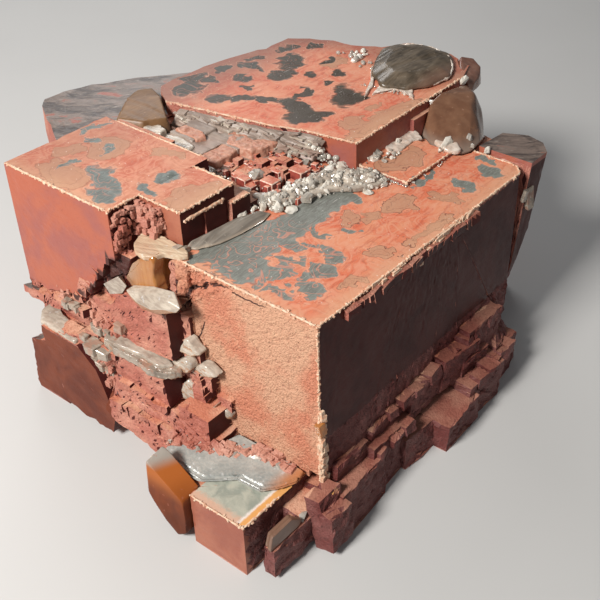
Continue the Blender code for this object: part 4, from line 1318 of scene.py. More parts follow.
# %% [markdown]
# ## Shapes to set many times
#
# The little crystals are copies of a few shapes: a rounded bead, a block with bevelled edges and a blunt
# point. Each copy is put at a lattice place, with half its size along each edge direction, and may be
# turned and made lumpy. All copies of a kind are joined into one mesh.


# %% Beads and bevelled blocks
def in_order(corners, triangles):
    """The same shape with its corners and triangles sorted, since a bevel may list them in any order."""
    order = np.lexsort(corners.T)
    triangles = np.argsort(order)[triangles]
    turns = triangles.argmin(axis=1)[:, None] + np.arange(3)
    triangles = np.take_along_axis(triangles, turns % 3, axis=1)
    return corners[order], triangles[np.lexsort(triangles.T)]


def shape_of(build):
    """The (corners, triangles) of what a function builds in a bmesh."""
    bm = bmesh.new()
    build(bm)
    bmesh.ops.triangulate(bm, faces=bm.faces)
    bm.verts.index_update()
    corners = np.array([vert.co for vert in bm.verts])
    triangles = np.array([[vert.index for vert in face.verts] for face in bm.faces])
    bm.free()
    return in_order(corners, triangles)


def bevelled_cube(bm):
    """A block two wide with its edges cut off."""
    bmesh.ops.create_cube(bm, size=2)
    bmesh.ops.bevel(bm, geom=bm.edges[:], offset=0.10, segments=1, profile=0.5, affect="EDGES")


SMALL_BEAD = shape_of(lambda bm: bmesh.ops.create_icosphere(bm, subdivisions=2, radius=1))
GRAIN_SHAPE = shape_of(lambda bm: bmesh.ops.create_icosphere(bm, subdivisions=1, radius=1))
BLOCK = shape_of(bevelled_cube)


print("triangles of bead, grain and block:", [len(shape[1]) for shape in (SMALL_BEAD, GRAIN_SHAPE, BLOCK)])


# %% Copies of a shape
def random_turn(chance, degrees):
    """A turn of up to so many degrees about any axis."""
    turn = math.radians(chance.uniform(-degrees, degrees))
    return Matrix.Rotation(turn, 4, Vector([chance.gauss(0, 1) for _ in "uvw"]))


def uneven(chance, half, low, high):
    """Three half-sizes, each between low and high times half."""
    return [half * chance.uniform(low, high) for _ in "uvw"]


def set_at(shape, middle, half, turn=None, lumpy=0.0, seed=0):
    """A copy of a shape at a lattice place, with its half-sizes along the edge directions in millimetres."""
    points, triangles = shape
    matrix = np.array(LATTICE @ Matrix.Translation(middle) @ (turn or Matrix()) @ Matrix.Diagonal((*half, 1)))
    push = 1 + lumpy * noise(points * 1.6 + seed * 3.7, seed)
    return moved(points * push[:, None], matrix), triangles


def sprinkled(runs, shape, chance, flat=1.0, lumpy=0.25):
    """Copies of random sizes about lines of places: (count, start, end, spread, least, greatest)."""
    made = []
    for count, start, end, spread, least, greatest in runs:
        for number in range(count):
            place = Vector(start).lerp(Vector(end), chance.random())
            place += Vector((chance.gauss(0, spread), chance.gauss(0, spread), chance.uniform(-0.3, 0.1)))
            half = chance.uniform(least, greatest) * chance.uniform(0.5, 1.0)
            sizes = (half * chance.uniform(0.8, 1.4), half * chance.uniform(0.8, 1.4), half * flat)
            made.append(set_at(shape, place, sizes, None, lumpy, number))
    return made


# %% Loose grains along the pale edges
GRAINS_PER_MM = 1.8


def edge_grains():
    """Small blocks strewn along the rims, most of them just off the line."""
    chance = random.Random(SEED + 30)
    made = []
    for radius, *path in RIMS:
        for place in walked(path, 1 / GRAINS_PER_MM):
            off = [chance.gauss(0, radius * 0.55) for _ in "uv"] + [chance.uniform(-0.2, 0.5) * radius]
            spot = BACK_TO_LATTICE @ Vector(place) + Vector(off)
            half = uneven(chance, chance.uniform(0.12, 0.29), 0.6, 1.5)
            made.append(set_at(BLOCK, spot, half, random_turn(chance, 60)))
    return made


piece_of("edge_grains", cream_crust, edge_grains())

# %% [markdown]
# ## Little cubes in the trough
#
# Small rhombs of red calcite stand in the sunk strip, all with their faces in the same three directions
# because they grew on the same lattice. Their edges caught a pale coating, which is the bevel's colour.

# %% Where the cubes stand
CUBES = (
    # middle u, v; top level; half-width along u and v
    (44.4, 35.6, -4.2, 2.1, 1.8), (47.6, 42.0, -3.6, 1.8, 1.6), (43.0, 45.0, -3.7, 2.4, 2.0),
    (47.7, 31.8, -3.2, 1.2, 1.2), (38.9, 34.4, -2.4, 1.7, 1.4), (54.3, 50.4, -2.8, 1.9, 1.6),
    (51.4, 53.0, -2.8, 2.0, 1.4), (50.4, 32.3, -4.2, 1.6, 1.3), (58.0, 38.0, -2.7, 2.4, 2.2),
    (41.6, 49.8, -2.2, 1.3, 1.2), (54.5, 44.0, -2.8, 1.3, 1.1), (52.8, 46.2, -3.2, 1.2, 1.0),
    (49.9, 50.4, -2.2, 1.2, 1.1), (58.4, 44.6, -2.2, 1.2, 1.3), (50.8, 47.6, -2.3, 1.2, 0.8),
    (36.4, 36.6, -1.7, 1.1, 1.2), (46.6, 38.4, -2.1, 1.0, 1.2), (54.0, 34.8, -3.3, 1.8, 1.5),
    (55.6, 40.6, -3.1, 1.5, 1.3), (51.6, 37.4, -2.6, 1.3, 1.5), (51.0, 42.0, -2.7, 1.4, 1.2),
    (61.6, 41.8, -3.0, 1.6, 1.4), (46.0, 49.6, -2.6, 1.4, 1.3), (39.4, 39.0, -1.6, 1.0, 1.3),
)


# %% Their stone, and the copies
def cube_stone(name, plain, bright):
    """Clouded red stone with brighter specks."""
    made = Recipe(name)
    clouds = made.noise(made.mm, 0.3, 3, 0.6)
    fine = made.noise(made.mm, 1.8, 3, 0.6)
    colour = made.mix(clouds.rise(0.38, 0.62), plain, bright)
    colour = made.mix(fine.rise(0.58, 0.72) * 0.4, colour, lighter(bright, 1.3, 0.08, 0.8))
    normal = made.bump(fine * 0.25, 0.5)
    return made.finish({"Base Color": colour, "Roughness": fine * 0.2 + 0.25, "Normal": normal})


CUBE_FLOOR = 0.4  # level that the cubes reach down to
SMALL_CUBES = 70
EDGE, TOP = 1, 2  # numbers of the cubes' second and third finish


def red_cubes():
    """Copies of the block: each cube of the table, then small ones strewn between them."""
    chance = random.Random(SEED + 40)
    shapes = []
    for u, v, top, half_u, half_v in CUBES:
        half_w = (CUBE_FLOOR - top) / 2
        shapes.append(set_at(BLOCK, (u, v, top + half_w), (half_u, half_v, half_w), random_turn(chance, 5)))
    for _ in range(SMALL_CUBES):
        half = chance.uniform(0.35, 0.9)
        place = (chance.uniform(40, 60), chance.uniform(32, 52), chance.uniform(-3.2, -1.4))
        shapes.append(set_at(BLOCK, place, uneven(chance, half, 0.7, 1.2), random_turn(chance, 12)))
    return shapes


def cube_finishes():
    """For each triangle of a bevelled block: side, bevelled edge or top."""
    across = np.abs(face_normals(*BLOCK))
    slanted = across.max(axis=1) < 0.99 * across.sum(axis=1)
    finishes = np.where(slanted, EDGE, 0)
    finishes[~slanted & (across.argmax(axis=1) == 2)] = TOP
    return finishes.astype(np.int32)


# %% Make the cubes
# painted shade: the cubes' sides are a darker red than their tops, for the shade they stand in
side_stone = cube_stone("cube_shaded_side_stone", (0.16, 0.025, 0.02), (0.34, 0.065, 0.045))
cube_shapes = red_cubes()
cubes = piece_of("trough_cubes", side_stone, cube_shapes)
cubes.data.materials.append(crust_stone("cube_edge_crust", (0.60, 0.26, 0.18), (0.80, 0.62, 0.50)))
cubes.data.materials.append(cube_stone("cube_top_stone", (0.52, 0.13, 0.07), (0.66, 0.26, 0.16)))
cubes.data.polygons.foreach_set("material_index", np.tile(cube_finishes(), len(cube_shapes)))

# %% [markdown]
# ## Silvery beads and gems
#
# Last of all, clear calcite grew along the seams between the blocks as beads and blunt, glassy gems. They
# are bright because each is a small curved mirror, and the white ones' pale colour paints in part of that
# highlight.

# %% Where the beads and gems lie
BEADS = (
    # count, start (u, v, w), end (u, v, w), spread, least and greatest half-size
    (38, (41.5, 48, -1.4), (33.0, 58.5, -0.7), 1.6, 0.25, 0.75),
    (34, (33.6, 58, -0.8), (24.0, 58.6, -0.5), 1.0, 0.25, 0.65),
    (30, (35.8, 63, -1.6), (29.6, 71, -1.4), 1.0, 0.22, 0.6),
    (16, (33.6, 60, -1.6), (33.4, 68, -1.8), 0.5, 0.2, 0.45),
    (22, (24.4, 59.7, -0.2), (19.0, 59.5, -0.2), 0.2, 0.18, 0.35),
    (16, (18.9, 60, -0.2), (18.9, 80, -0.2), 0.15, 0.14, 0.3),
    (34, (44.5, 26.0, -1.0), (37.0, 31.5, -0.8), 1.0, 0.3, 0.7),
    (36, (42.5, 37.0, -1.5), (36.0, 45.0, -0.7), 1.4, 0.2, 0.55),
    (40, (60, 32, -2.2), (46, 34, -2.2), 1.6, 0.2, 0.5),
    (40, (58, 42, -2.4), (44, 52, -1.8), 1.8, 0.18, 0.5),
    (18, (35.0, 40.5, -0.2), (31.4, 46.4, -0.2), 0.4, 0.15, 0.35),
    (26, (60.6, 24.0, -2.0), (47.0, 24.6, -2.2), 0.7, 0.25, 0.6),
    (12, (23.5, 79, -1.4), (17.6, 83.6, -1.0), 0.6, 0.25, 0.55),
    (10, (43.4, 90.8, -8.4), (55.0, 88.8, -8.4), 1.0, 0.2, 0.45),
    (32, (45.2, 54.8, -6.2), (43.2, 55.4, -3.0), 0.9, 0.4, 1.0),
    (26, (43.2, 55.4, -3.0), (39.0, 56.8, -1.4), 1.1, 0.3, 0.9),
    (26, (72.0, 104.5, -8.4), (63.0, 100.0, -8.4), 1.7, 0.4, 1.3),
    (16, (50.0, 88.0, -8.3), (44.0, 92.0, -8.3), 1.6, 0.2, 0.6),
)
GEMS = (
    # middle u, v, w; half-sizes
    (49.5, 35.7, -3.6, 1.9, 1.9, 1.6), (45.8, 26.3, -4.2, 1.3, 2.6, 1.2),
    (43.1, 30.2, -1.6, 2.2, 1.8, 1.7), (40.3, 28.4, -0.9, 0.8, 0.9, 1.2),
    (37.3, 30.4, -0.9, 1.2, 1.4, 1.5), (34.9, 32.4, -0.5, 1.5, 1.7, 0.8),
    (34.8, 38.4, -1.2, 1.5, 1.9, 1.3), (36.7, 50.2, -1.2, 1.5, 2.3, 1.4),
    (44.8, 49.7, -2.7, 0.9, 1.2, 0.8), (49.5, 49.0, -3.2, 0.5, 0.6, 1.4),
    (44.6, 39.6, -1.8, 0.5, 0.7, 1.1), (42.3, 40.1, -1.8, 0.5, 0.7, 0.8),
    (60.3, 45.1, -2.3, 0.6, 0.6, 0.6), (42.8, 58.0, -1.4, 1.3, 1.2, 1.1),
    (38.0, 56.6, -1.2, 1.2, 1.6, 1.0), (40.6, 55.6, -1.2, 0.9, 0.9, 0.8),
    (30.4, 50.3, -0.6, 1.1, 1.0, 0.8), (25.1, 51.2, -0.4, 1.4, 1.2, 0.7),
    (28.3, 55.9, -0.8, 1.1, 1.0, 0.8), (24.8, 57.0, -0.5, 1.6, 1.5, 0.7),
    (33.2, 56.1, -0.9, 1.0, 0.9, 0.8), (33.9, 76.4, -1.8, 0.8, 0.9, 1.0),
    (30.8, 65.7, -1.4, 0.8, 0.7, 0.6), (30.1, 68.3, -1.4, 0.6, 0.6, 0.6),
    (34.8, 67.5, -1.6, 1.5, 1.6, 1.1), (22.6, 83.0, -1.6, 1.6, 3.3, 1.3),
    (18.9, 89.4, -2.6, 0.8, 0.9, 0.9), (16.4, 87.1, -1.6, 0.6, 0.6, 0.6),
    (33.6, 44.0, -0.3, 0.8, 0.5, 0.4), (43.1, 25.1, -0.9, 0.5, 0.6, 0.9),
    (41.8, 26.1, -0.9, 0.5, 0.6, 1.0), (41.9, 22.4, -0.8, 0.9, 1.5, 0.9),
    (34.2, 46.4, -0.5, 1.4, 1.9, 0.7), (39.6, 53.0, -1.0, 1.6, 1.9, 0.9),
    (33.8, 93.1, -7.2, 1.0, 1.1, 1.1), (34.7, 111.0, -7.6, 0.8, 1.5, 1.2),
    (12.7, 88.9, -0.8, 0.8, 1.1, 1.0), (47.5, 27.5, -3.0, 1.2, 1.2, 1.6),
    (53.0, 25.6, -2.6, 1.4, 1.0, 1.6),
)


# %% Beads and gems along the seams
def gem_shapes(gems, seed, shape, lumpy=0.28):
    """Copies of a shape at each row of a table, a little turned and lumpy."""
    chance = random.Random(seed)
    shapes = []
    for number, (u, v, w, *half) in enumerate(gems):
        shapes.append(set_at(shape, (u, v, w), half, random_turn(chance, 20), lumpy, number + seed))
    return shapes


def mixed_beads(name, shapes, shape, watery, smooth=False):
    """Beads of two kinds: bright white ones and, for the watery share, clear ones like drops of water.

    The white ones' pale colour is partly painted highlight.
    """
    beads = piece_of(name, clear["silver"], shapes, smooth)
    beads.data.materials.append(clear["water"])
    chance = random.Random(len(shapes))
    kinds = np.array([chance.random() < watery for _ in shapes], np.int32)
    beads.data.polygons.foreach_set("material_index", np.repeat(kinds, len(shape[1])))


seam_beads = sprinkled(BEADS, SMALL_BEAD, random.Random(SEED + 50))
mixed_beads("seam_beads", seam_beads, SMALL_BEAD, watery=0.62, smooth=True)
mixed_beads("seam_gems", gem_shapes(GEMS, 60, SMALL_BEAD, lumpy=0.5), SMALL_BEAD, watery=0.3)

# %% [markdown]
# ## Thin plates
#
# Down the left side, along the foot and round the trough lie thin plates of pale calcite. Each is an
# outline in one lattice plane between two levels along the third edge direction, with its outer rim
# bevelled; then it is cut finer, eased and rippled so that it looks melted rather than sawn.


# %% Plates from outlines
def ragged(outline, seed, spacing=0.9, far=0.28):
    """An outline with more corners, each pushed a little about."""
    corners = np.array(outline, float)
    walk = np.vstack([corners, corners[:1]])
    far_along = np.concatenate([[0], np.cumsum(np.linalg.norm(np.diff(walk, axis=0), axis=1))])
    steps = np.linspace(0, far_along[-1], max(8, int(far_along[-1] / spacing)), endpoint=False)
    places = np.stack([np.interp(steps, far_along, walk[:, axis]) for axis in (0, 1)], axis=1)
    deep = np.column_stack([places * 0.8, np.full(len(places), seed * 1.7)])
    return places + far * np.stack([noise(deep, 1), noise(deep, 2)], axis=1)


def plate(along, low, high, outline, seed, bevel=0.3, ripple=0.08, longest=0.65):
    """A plate between two levels along v or w, with its outline given in the other two directions."""
    flat = ragged(outline, seed)
    middle = flat.mean(axis=0)
    reach = np.linalg.norm(flat - middle, axis=1, keepdims=True)
    inner = middle + (flat - middle) * np.maximum(1 - 1.4 * bevel / reach, 0.3)
    shoulder = high - math.copysign(bevel, high - low)
    rows = ((flat, low), (flat, shoulder), (inner, high), (middle[None], low), (middle[None], high))
    order = {"v": (0, 2, 1), "w": (0, 1, 2)}[along]
    places = np.vstack([np.column_stack([row, np.full(len(row), level)])[:, order] for row, level in rows])
    count = len(flat)
    now = np.arange(count)
    after = (now + 1) % count
    bands = []
    for start in (0, count):
        a, b, c, d = now + start, after + start, after + start + count, now + start + count
        bands += [np.stack([a, b, c], axis=1), np.stack([a, c, d], axis=1)]
    bottom = np.stack([after, now, np.full(count, 3 * count)], axis=1)
    top = np.stack([now + 2 * count, after + 2 * count, np.full(count, 3 * count + 1)], axis=1)
    points = moved(places, np.array(LATTICE))
    triangles = np.vstack(bands + [bottom, top])
    outward = (points[triangles[:, 0]] - points[0]) * face_normals(points, triangles)
    if outward.sum() < 0:
        triangles = triangles[:, ::-1]
    points, triangles = refined(points, triangles, lambda places, normals: np.full(len(places), longest))
    points = eased(points, triangles, 1)
    normals = corner_normals(points, triangles)
    heights = ripple * fractal(lattice_places(points) / 1.6, 3, seed)
    return points + normals * heights[:, None] * MM, triangles


def plates(rows, seed, **how):
    """A plate for each row of a table."""
    made = []
    for number, (along, low, high, *outline) in enumerate(rows):
        made.append(plate(along, low, high, outline, seed + number, **how))
    return made


# %% Pale plates down the left side and on the foot
FRONT_PLATES = (
    # edge direction, inner level, outer level, outline in the other two
    ("v", -0.6, -3.6, (40.9, 24.8), (40.4, 23.3), (38.6, 19.7), (37.2, 19.4), (35.8, 20.7), (34.0, 21.9),
     (33.7, 22.4), (37.3, 24.2)),
    ("v", -0.6, -3.6, (37.9, 29.0), (36.4, 27.2), (33.9, 25.3), (31.9, 24.9), (30.3, 25.6), (28.8, 26.4),
     (32.0, 28.4), (36.2, 30.1)),
    ("v", -2.4, -5.2, (46.6, 31.7), (44.4, 28.7), (41.0, 26.7), (38.1, 24.6), (36.1, 24.5), (35.3, 26.2),
     (36.6, 28.4), (39.3, 28.9)),
    ("v", -0.8, -3.9, (43.1, 40.4), (42.3, 37.8), (40.5, 34.2), (38.9, 32.4), (37.2, 32.8), (35.8, 34.9),
     (35.4, 36.6), (39.5, 39.5)),
    ("v", -1.2, -3.4, (37.3, 42.0), (36.4, 39.8), (34.8, 38.4), (33.0, 38.8), (31.0, 36.9), (30.0, 36.0),
     (31.2, 38.9), (34.2, 41.2)),
    ("v", -4.4, -7.4, (42.6, 43.0), (41.7, 41.9), (39.5, 41.0), (38.3, 42.3), (38.2, 43.8), (40.4, 45.1),
     (41.7, 44.5)),
    ("v", -0.2, -2.2, (29.2, 39.1), (28.4, 37.4), (27.1, 37.3), (26.2, 38.4), (26.7, 39.9), (28.0, 40.4)),
    ("w", 34.4, 32.6, (87.6, -10.0), (91.5, -6.2), (91.7, -3.5), (89.1, -3.0), (85.1, -4.3), (80.3, -5.6),
     (75.9, -6.9), (72.8, -9.2), (72.9, -10.4), (77.9, -10.4), (82.5, -10.3)),
    ("w", 29.6, 28.2, (85.3, -4.1), (84.3, -2.7), (81.2, -2.6), (77.3, -3.9), (76.1, -4.6), (77.8, -5.4),
     (81.1, -5.3)),
    ("w", 28.4, 26.9, (58.6, -9.2), (59.8, -6.0), (57.0, -4.4), (50.0, -4.0), (44.0, -4.6), (40.6, -6.0),
     (43.0, -8.4), (50.0, -8.0)),
)
TROUGH_BED = (
    "w", -1.4, -2.9, (57.8, 30.4), (82.0, 30.4), (90.0, 34.0), (88.0, 41.0), (80.0, 44.6),
    (68.0, 50.6), (56.0, 55.0), (50.0, 54.0), (55.6, 44.0), (58.0, 37.0),
)
TROUGH_PLATES = (
    ("w", -2.6, -5.6, (68.9, 46.1), (68.4, 50.0), (63.0, 52.0), (55.9, 52.4), (54.5, 50.0), (55.4, 45.2),
     (57.0, 42.5), (60.6, 41.8), (64.9, 41.9)),
    ("w", -2.6, -5.0, (68.6, 34.6), (68.9, 38.6), (65.2, 42.2), (60.9, 42.1), (60.2, 37.7), (60.3, 32.3),
     (63.7, 32.2)),
    ("w", -2.6, -6.3, (80.8, 38.2), (80.5, 41.5), (75.9, 42.1), (70.7, 40.2), (71.4, 37.5), (75.9, 37.6)),
)
FRINGE_PLATES = (
    ("w", -8.0, -8.9, (62.4, 105.5), (52.2, 102.5), (57.8, 100.8)),
    ("w", -8.0, -8.8, (61.3, 101.3), (54.5, 91.1), (49.1, 80.8), (52.2, 89.3), (57.6, 97.9)),
    ("w", -8.0, -8.7, (51.6, 93.4), (44.3, 97.9), (38.0, 89.5), (43.2, 92.3), (47.2, 90.3), (49.1, 84.2)),
    ("w", -0.9, -1.7, (36.4, 73.0), (37.3, 77.4), (37.2, 82.0), (34.9, 85.3), (32.6, 84.8), (29.7, 83.0),
     (31.3, 79.2), (30.4, 73.3), (32.3, 70.4)),
    ("w", -0.9, -1.6, (37.3, 65.7), (37.4, 68.5), (34.6, 67.8), (32.0, 65.6), (33.0, 63.5), (34.9, 63.4)),
    ("w", -0.6, -2.0, (26.0, 82.8), (26.6, 85.4), (24.6, 87.0), (20.9, 86.0), (17.8, 83.5), (17.8, 81.4),
     (20.3, 80.4), (23.9, 81.6)),
)
PLATE_RIM = (
    (63.0, 115.5, -9.5), (61.6, 118.0, -9.6), (58.4, 120.4, -9.7), (52.0, 120.8, -9.8),
    (45.4, 118.6, -9.6), (40.8, 113.8, -9.2), (38.0, 107.6, -8.9), (38.8, 100.0, -8.7),
)
CREAM_PLATES = (
    ("w", -2.6, -3.9, (68.0, 30.4), (68.8, 32.6), (63.5, 32.6), (59.3, 31.6), (59.0, 29.0), (63.2, 28.8)),
    ("w", -2.6, -5.5, (80.4, 30.6), (81.6, 35.4), (76.9, 36.9), (70.4, 35.5), (69.0, 31.6), (72.8, 30.0),
     (77.3, 30.0)),
    ("w", -4.4, -7.2, (90.0, 33.0), (89.0, 36.7), (81.1, 35.6), (80.2, 32.6), (83.0, 31.6)),
    ("v", 0.9, -0.6, (52.0, 0.6), (49.0, -0.6), (46.0, -0.8), (43.6, 0.0), (45.6, 1.2), (50.0, 1.4)),
)
AMBER_FACE = (
    "v", -1.2, -4.6, (50.6, 2.7), (49.3, 0.6), (46.2, -1.2), (44.6, -1.4), (44.4, 0.2), (45.3, 3.9),
    (44.6, 7.0), (44.3, 8.9), (48.4, 10.0), (53.0, 9.7), (55.2, 7.4), (52.6, 5.2),
)

# %% Make the plates
tan_stone = crust_stone("trough_plate_stone", (0.46, 0.19, 0.125), (0.56, 0.30, 0.21))
front_shapes = plates(FRONT_PLATES, seed=70)
front_plates = piece_of("front_plates", clear["milky"], front_shapes, smooth=True)
add_underside(front_plates, clear["rim"], level=0.22)
piece_of("amber_face", clear["amber"], plates([AMBER_FACE], seed=60), smooth=True)
trough_bed = plates([TROUGH_BED], seed=50, ripple=0.3, longest=1.3)
piece_of("trough_bed", clear["band"], trough_bed, smooth=True)
trough_plates = plates(TROUGH_PLATES, seed=90, ripple=0.22, bevel=0.2)
piece_of("trough_plates", tan_stone, trough_plates)
fringes = plates(FRINGE_PLATES, seed=130, ripple=0.2, bevel=0.2)
piece_of("clear_fringes", clear["sliver"], fringes, smooth=True)
plate_rim = tube(PLATE_RIM, radius=0.5, seed=150)
piece_of("clear_plate_rim", clear["sliver"], [plate_rim], smooth=True)
cream_plates = plates(CREAM_PLATES, seed=110, ripple=0.2, bevel=0.2)
piece_of("trough_pale_plates", clear["milky"], cream_plates, smooth=True)

# %% Thin plates on the crust's bank
BANK = (
    # (u, v) along its back
    (44.2, 56.6), (50.4, 55.3), (59.2, 51.9), (69.6, 49.5), (83.2, 47.1), (86.4, 46.5),
)
SLOPE = 3.4, 3.6  # how far the bank falls forward along v, and down along w


def bank_shards(count, seed):
    """Shards lying on the slope of the bank, from its back down into the trough."""
    chance = random.Random(seed)
    made = []
    for _ in range(count):
        u = chance.uniform(44.4, 86)
        back = np.interp(u, *zip(*BANK))
        down = chance.random()
        place = (u, back - 0.8 - SLOPE[0] * down, -7.2 + SLOPE[1] * down)
        half = chance.uniform(0.8, 2.6), chance.uniform(0.4, 1.2), chance.uniform(0.12, 0.35)
        made.append(set_at(BLOCK, place, half, random_turn(chance, 26)))
    return made


piece_of("bank_shards", clear["band"], bank_shards(count=90, seed=SEED + 63))
piece_of("pale_bank_shards", clear["milky"], bank_shards(count=34, seed=SEED + 64))

# %% [markdown]
# ## Crumbs and small pale crystals
#
# Where a corner broke off, the stone crumbled into dark red grains. Under the left block's ledges sit
# small pale rhombs, and the broken right edge of the main block carries thin leaves.

# %% Crumbs in the broken corner
CRUMB_SPREADS = (
    # count, lowest and highest place (u, v, w), least and greatest half-size
    (130, (49.6, 1.4, -8.2), (57.0, 4.4, -2.0), 0.35, 1.05),
    (60, (52.6, 2.0, -3.5), (57.0, 4.4, 1.6), 0.35, 1.0),
    (90, (55.6, -4.8, -8.4), (57.8, 3.6, -0.6), 0.35, 1.0),
    (40, (56.6, -4.8, -1.5), (58.4, 0.0, 3.4), 0.3, 0.8),
    (60, (59.4, -6.8, 26.6), (69.6, -3.4, 31.0), 0.4, 1.0),
    (50, (62.0, -8.8, 37.4), (68.0, -6.0, 43.6), 0.4, 1.0),
    (40, (72.0, -5.0, 22.0), (92.0, -3.0, 30.0), 0.5, 1.2),
)


def crumbs(spreads, seed):
    """Small blocks strewn through boxes."""
    chance = random.Random(seed)
    made = []
    for count, low, high, least, greatest in spreads:
        for _ in range(count):
            place = [chance.uniform(a, b) for a, b in zip(low, high)]
            half = chance.uniform(least, greatest) * chance.uniform(0.5, 1)
            made.append(set_at(BLOCK, place, uneven(chance, half, 0.6, 1.4), random_turn(chance, 30)))
    return made


crumb_stone = granular_stone("crumb_stone", (0.60, 0.30, 0.22), (0.44, 0.15, 0.105), (0.14, 0.03, 0.025), 0.3)
piece_of("corner_crumbs", crumb_stone, crumbs(CRUMB_SPREADS, SEED + 60))

# %% Where the small pale crystals sit
PALE_RHOMB_RUNS = (
    # count, start (u, v, w), end (u, v, w), spread, least and greatest half-size
    (6, (80.5, -6.4, 25.6), (73.5, -6.8, 24.9), 0.25, 1.2, 1.5),
    (9, (72.5, -9.2, 31.2), (60.0, -9.7, 31.4), 0.3, 1.2, 1.6),
    (7, (70.0, -4.8, 29.0), (62.0, -6.2, 28.0), 0.3, 1.3, 1.8),
    (7, (67.5, -9.0, 37.2), (64.0, -7.0, 40.0), 0.5, 1.2, 1.6),
    (4, (59.0, -6.2, 24.6), (55.5, -6.2, 20.4), 0.2, 1.4, 1.7),
    (2, (96.5, -1.8, 38.6), (93.5, -2.8, 37.6), 0.2, 1.2, 1.4),
)
PALE_RHOMBS = (
    # middle u, v, w; half-sizes
    # the first is a pale speck on the right wall that stands for a glint: a painted highlight
    (-0.2, 43.0, 40.7, 0.35, 0.7, 0.5), (43.5, 2.2, -0.9, 0.9, 1.0, 0.9), (42.4, 3.6, -0.7, 0.7, 0.8, 0.6),
    (-0.4, 91.0, 10.5, 0.6, 1.5, 3.2), (-0.3, 88.4, 8.6, 0.5, 1.0, 1.8),
)
FOOT_GEMS = (
    (34.3, -19.4, 45.9, 1.2, 0.9, 0.9), (36.6, -19.0, 45.6, 0.8, 0.9, 1.2),
    (38.5, -9.0, 46.6, 0.7, 0.7, 0.7), (16.6, -4.6, 44.6, 1.1, 1.0, 0.8),
    (29.3, -11.0, 44.4, 1.0, 0.9, 0.9), (-0.6, -7.6, 50.6, 1.0, 1.5, 1.3),
    (-0.6, -3.6, 46.2, 0.7, 0.8, 0.7), (-2.6, 3.0, 47.6, 0.7, 0.6, 0.6),
)
YELLOW_GEM = (-0.4, -0.1, 28.7, 0.9, 1.0, 1.8)  # on the front right edge
LEAVES = 64


# %% Leaves and blocks on the right edge
def right_edge_leaves():
    """Thin leaves under the main block's right top edge, then small blocks down its front right edge."""
    chance = random.Random(SEED + 70)
    made = []
    for _ in range(LEAVES):
        v = chance.uniform(20, 62)
        far_down = 1 if 26 < v < 50 else 0.45  # the broken strip is widest in the middle
        place = (chance.uniform(-0.9, 0.0), v, chance.uniform(0.4, 3.2) * far_down)
        half = (chance.uniform(0.12, 0.3), chance.uniform(0.7, 2.0), chance.uniform(0.35, 0.9))
        made.append(set_at(BLOCK, place, half, random_turn(chance, 16)))
    for _ in range(LEAVES):
        w = chance.uniform(24, 45.6)
        place = (chance.uniform(-0.7, 0.2), chance.uniform(-0.3, 0.5 + w / 30), w)
        half = chance.uniform(0.3, 0.75)
        made.append(set_at(BLOCK, place, (half * 0.7, half, half * 1.3), random_turn(chance, 40)))
    return made


# %% Rubble on the foot
FOOT_BACK = (
    # (u, v) along the back of the foot's pale ledge
    (3.7, -3.2), (7.9, -3.6), (14.3, -4.5), (18.3, -6.0), (22.2, -9.8), (27.4, -11.8), (33.2, -13.3),
    (39.1, -16.2),
)
POCKET_FLOOR = 45.2  # w


def foot_pocket(count, least, greatest, seed):
    """Rubble between the foot's pale ledge and the blocks behind it."""
    chance = random.Random(seed)
    made = []
    for _ in range(count):
        u = chance.uniform(7, 38)
        front = np.interp(u, *zip(*FOOT_BACK))
        half = chance.uniform(least, greatest)
        v = front + chance.uniform(0.2, 1.0) * min(6.0, -0.6 - front)
        w = POCKET_FLOOR - chance.uniform(0, 0.6) * half
        made.append(set_at(BLOCK, (u, v, w), uneven(chance, half, 0.6, 1.3), random_turn(chance, 40)))
    return made


# %% Make the small crystals
rhombs = sprinkled(PALE_RHOMB_RUNS, BLOCK, random.Random(80), flat=0.9, lumpy=0.28)
rhombs += gem_shapes(PALE_RHOMBS, 80, BLOCK)
piece_of("pale_rhombs", clear["stepped"], rhombs)
foot_gems = gem_shapes(FOOT_GEMS, 85, GRAIN_SHAPE, lumpy=0.5)
mixed_beads("foot_gems", foot_gems, GRAIN_SHAPE, watery=0.6)
foot_crumbs = foot_pocket(count=150, least=0.35, greatest=1.2, seed=SEED + 65)
piece_of("foot_crumbs", crumb_stone, foot_crumbs)
pocket_gems = foot_pocket(count=60, least=0.3, greatest=0.75, seed=SEED + 66)
mixed_beads("foot_pocket_gems", pocket_gems, BLOCK, watery=0.6)
piece_of("right_edge_leaves", cream_crust, right_edge_leaves())
piece_of("yellow_gem", clear["amber"], gem_shapes([YELLOW_GEM], 90, BLOCK))


# %% [markdown]
# ## The druse
#
# A druse is a crust of tiny crystals. Its solid has the lumps. Hundreds of small beads half sunk in it,
# spread evenly over its area, make it sparkle.


# %% A rind of tiny crystals on the druse
def rind(points, triangles, count, least, greatest, seed):
    """Tiny beads half sunk in a surface, spread evenly over its area."""
    chance = random.Random(seed)
    areas = np.linalg.norm(face_normals(points, triangles), axis=1)
    lookup = np.cumsum(areas) / areas.sum()
    middles = lattice_places(points[triangles].mean(axis=1))
    made = []
    for number in range(count):
        place = middles[np.searchsorted(lookup, chance.random())]
        half = chance.uniform(least, greatest) * chance.uniform(0.5, 1)
        sizes = uneven(chance, half, 0.7, 1.4)
        made.append(set_at(GRAIN_SHAPE, place, sizes, random_turn(chance, 90), 0.5, number))
    return made


druse_rind = rind(*take("druse"), count=900, least=0.25, greatest=0.85, seed=SEED + 80)
mixed_beads("druse_rind", druse_rind, GRAIN_SHAPE, watery=0.55)

# %% [markdown]
# ## Floor, light and camera
#
# A plain pale floor, a broad lamp high on the left for the lit faces, a weak one behind for the sheen on
# the flat tops, and a pale sky so that the dark right side still reads.


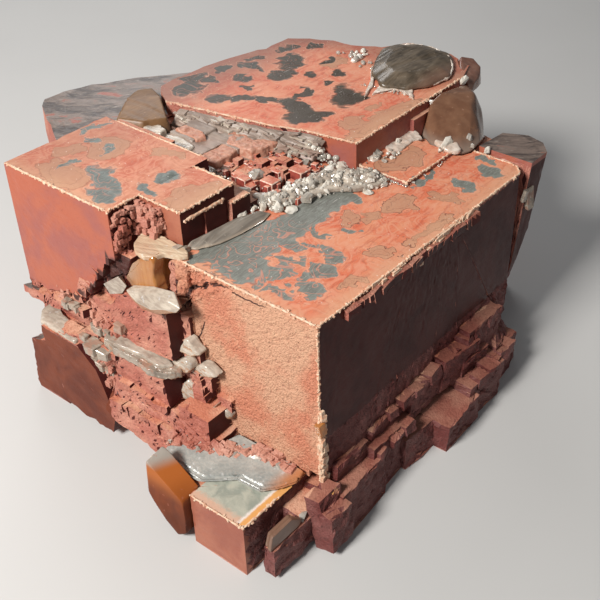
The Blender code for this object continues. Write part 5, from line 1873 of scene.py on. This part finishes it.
# %% The studio
FLOOR_HALF = 3.0  # metres
LAMPS = (
    # name, place, what it looks at, width, watts, colour
    ("key_lamp", (-0.34, -0.24, 0.44), (0, 0, 0.04), 0.16, 4.4, (1.0, 0.97, 0.93)),
    ("sheen_lamp", (-0.16, 0.62, 0.46), (0, 0.02, 0.05), 0.4, 1.4, (1, 1, 1)),
)


def pale_floor():
    """A wide floor with faint clouds, which is no part of the specimen."""
    made = Recipe("pale_floor")
    tone = made.noise(made.mm, 0.02, 2)
    colour = made.mix(tone, (0.56, 0.555, 0.545), (0.59, 0.585, 0.575))
    material = made.finish({"Base Color": colour, "Roughness": 0.7})
    corners = [(x * FLOOR_HALF, y * FLOOR_HALF, 0) for x, y in ((-1, -1), (1, -1), (1, 1), (-1, 1))]
    mesh = mesh_from("floor", np.array(corners), np.array([(0, 1, 2), (0, 2, 3)]))
    floor = bpy.data.objects.new("floor", mesh)
    floor.data.materials.append(material)
    bpy.context.scene.collection.objects.link(floor)


def lamp(name, where, aim, size, watts, colour):
    """A round lamp that looks at a place."""
    light = bpy.data.lights.new(name, "AREA")
    light.shape = "DISK"
    light.size = size
    light.energy = watts
    light.color = colour
    made = bpy.data.objects.new(name, light)
    made.location = where
    made.rotation_euler = (Vector(aim) - Vector(where)).to_track_quat("-Z", "Y").to_euler()
    bpy.context.scene.collection.objects.link(made)


def pale_sky(strength):
    """Even light from all round."""
    world = bpy.data.worlds.new("pale_sky")
    world.use_nodes = True
    background = world.node_tree.nodes["Background"]
    background.inputs["Color"].default_value = (0.95, 0.97, 1.0, 1)
    background.inputs["Strength"].default_value = strength
    bpy.context.scene.world = world


pale_floor()
for row in LAMPS:
    lamp(*row)
pale_sky(0.16)
bpy.context.scene.view_settings.view_transform = "Standard"

# %% The camera
LENS, SENSOR = 41.2, 36  # millimetres
CAMERA_PLACE = (0.00413, -0.15122, 0.17625)  # metres
CAMERA_TURN = (43.768, -0.3026, 0.3159)  # degrees about x, y and z
NEAREST = 0.005  # metres
camera_data = bpy.data.cameras.new("camera")
camera_data.lens = LENS
camera_data.sensor_width = SENSOR
camera_data.sensor_fit = "HORIZONTAL"
camera_data.clip_start = NEAREST
camera = bpy.data.objects.new("camera", camera_data)
camera.location = CAMERA_PLACE
camera.rotation_euler = [math.radians(turn) for turn in CAMERA_TURN]
bpy.context.scene.collection.objects.link(camera)
bpy.context.scene.camera = camera
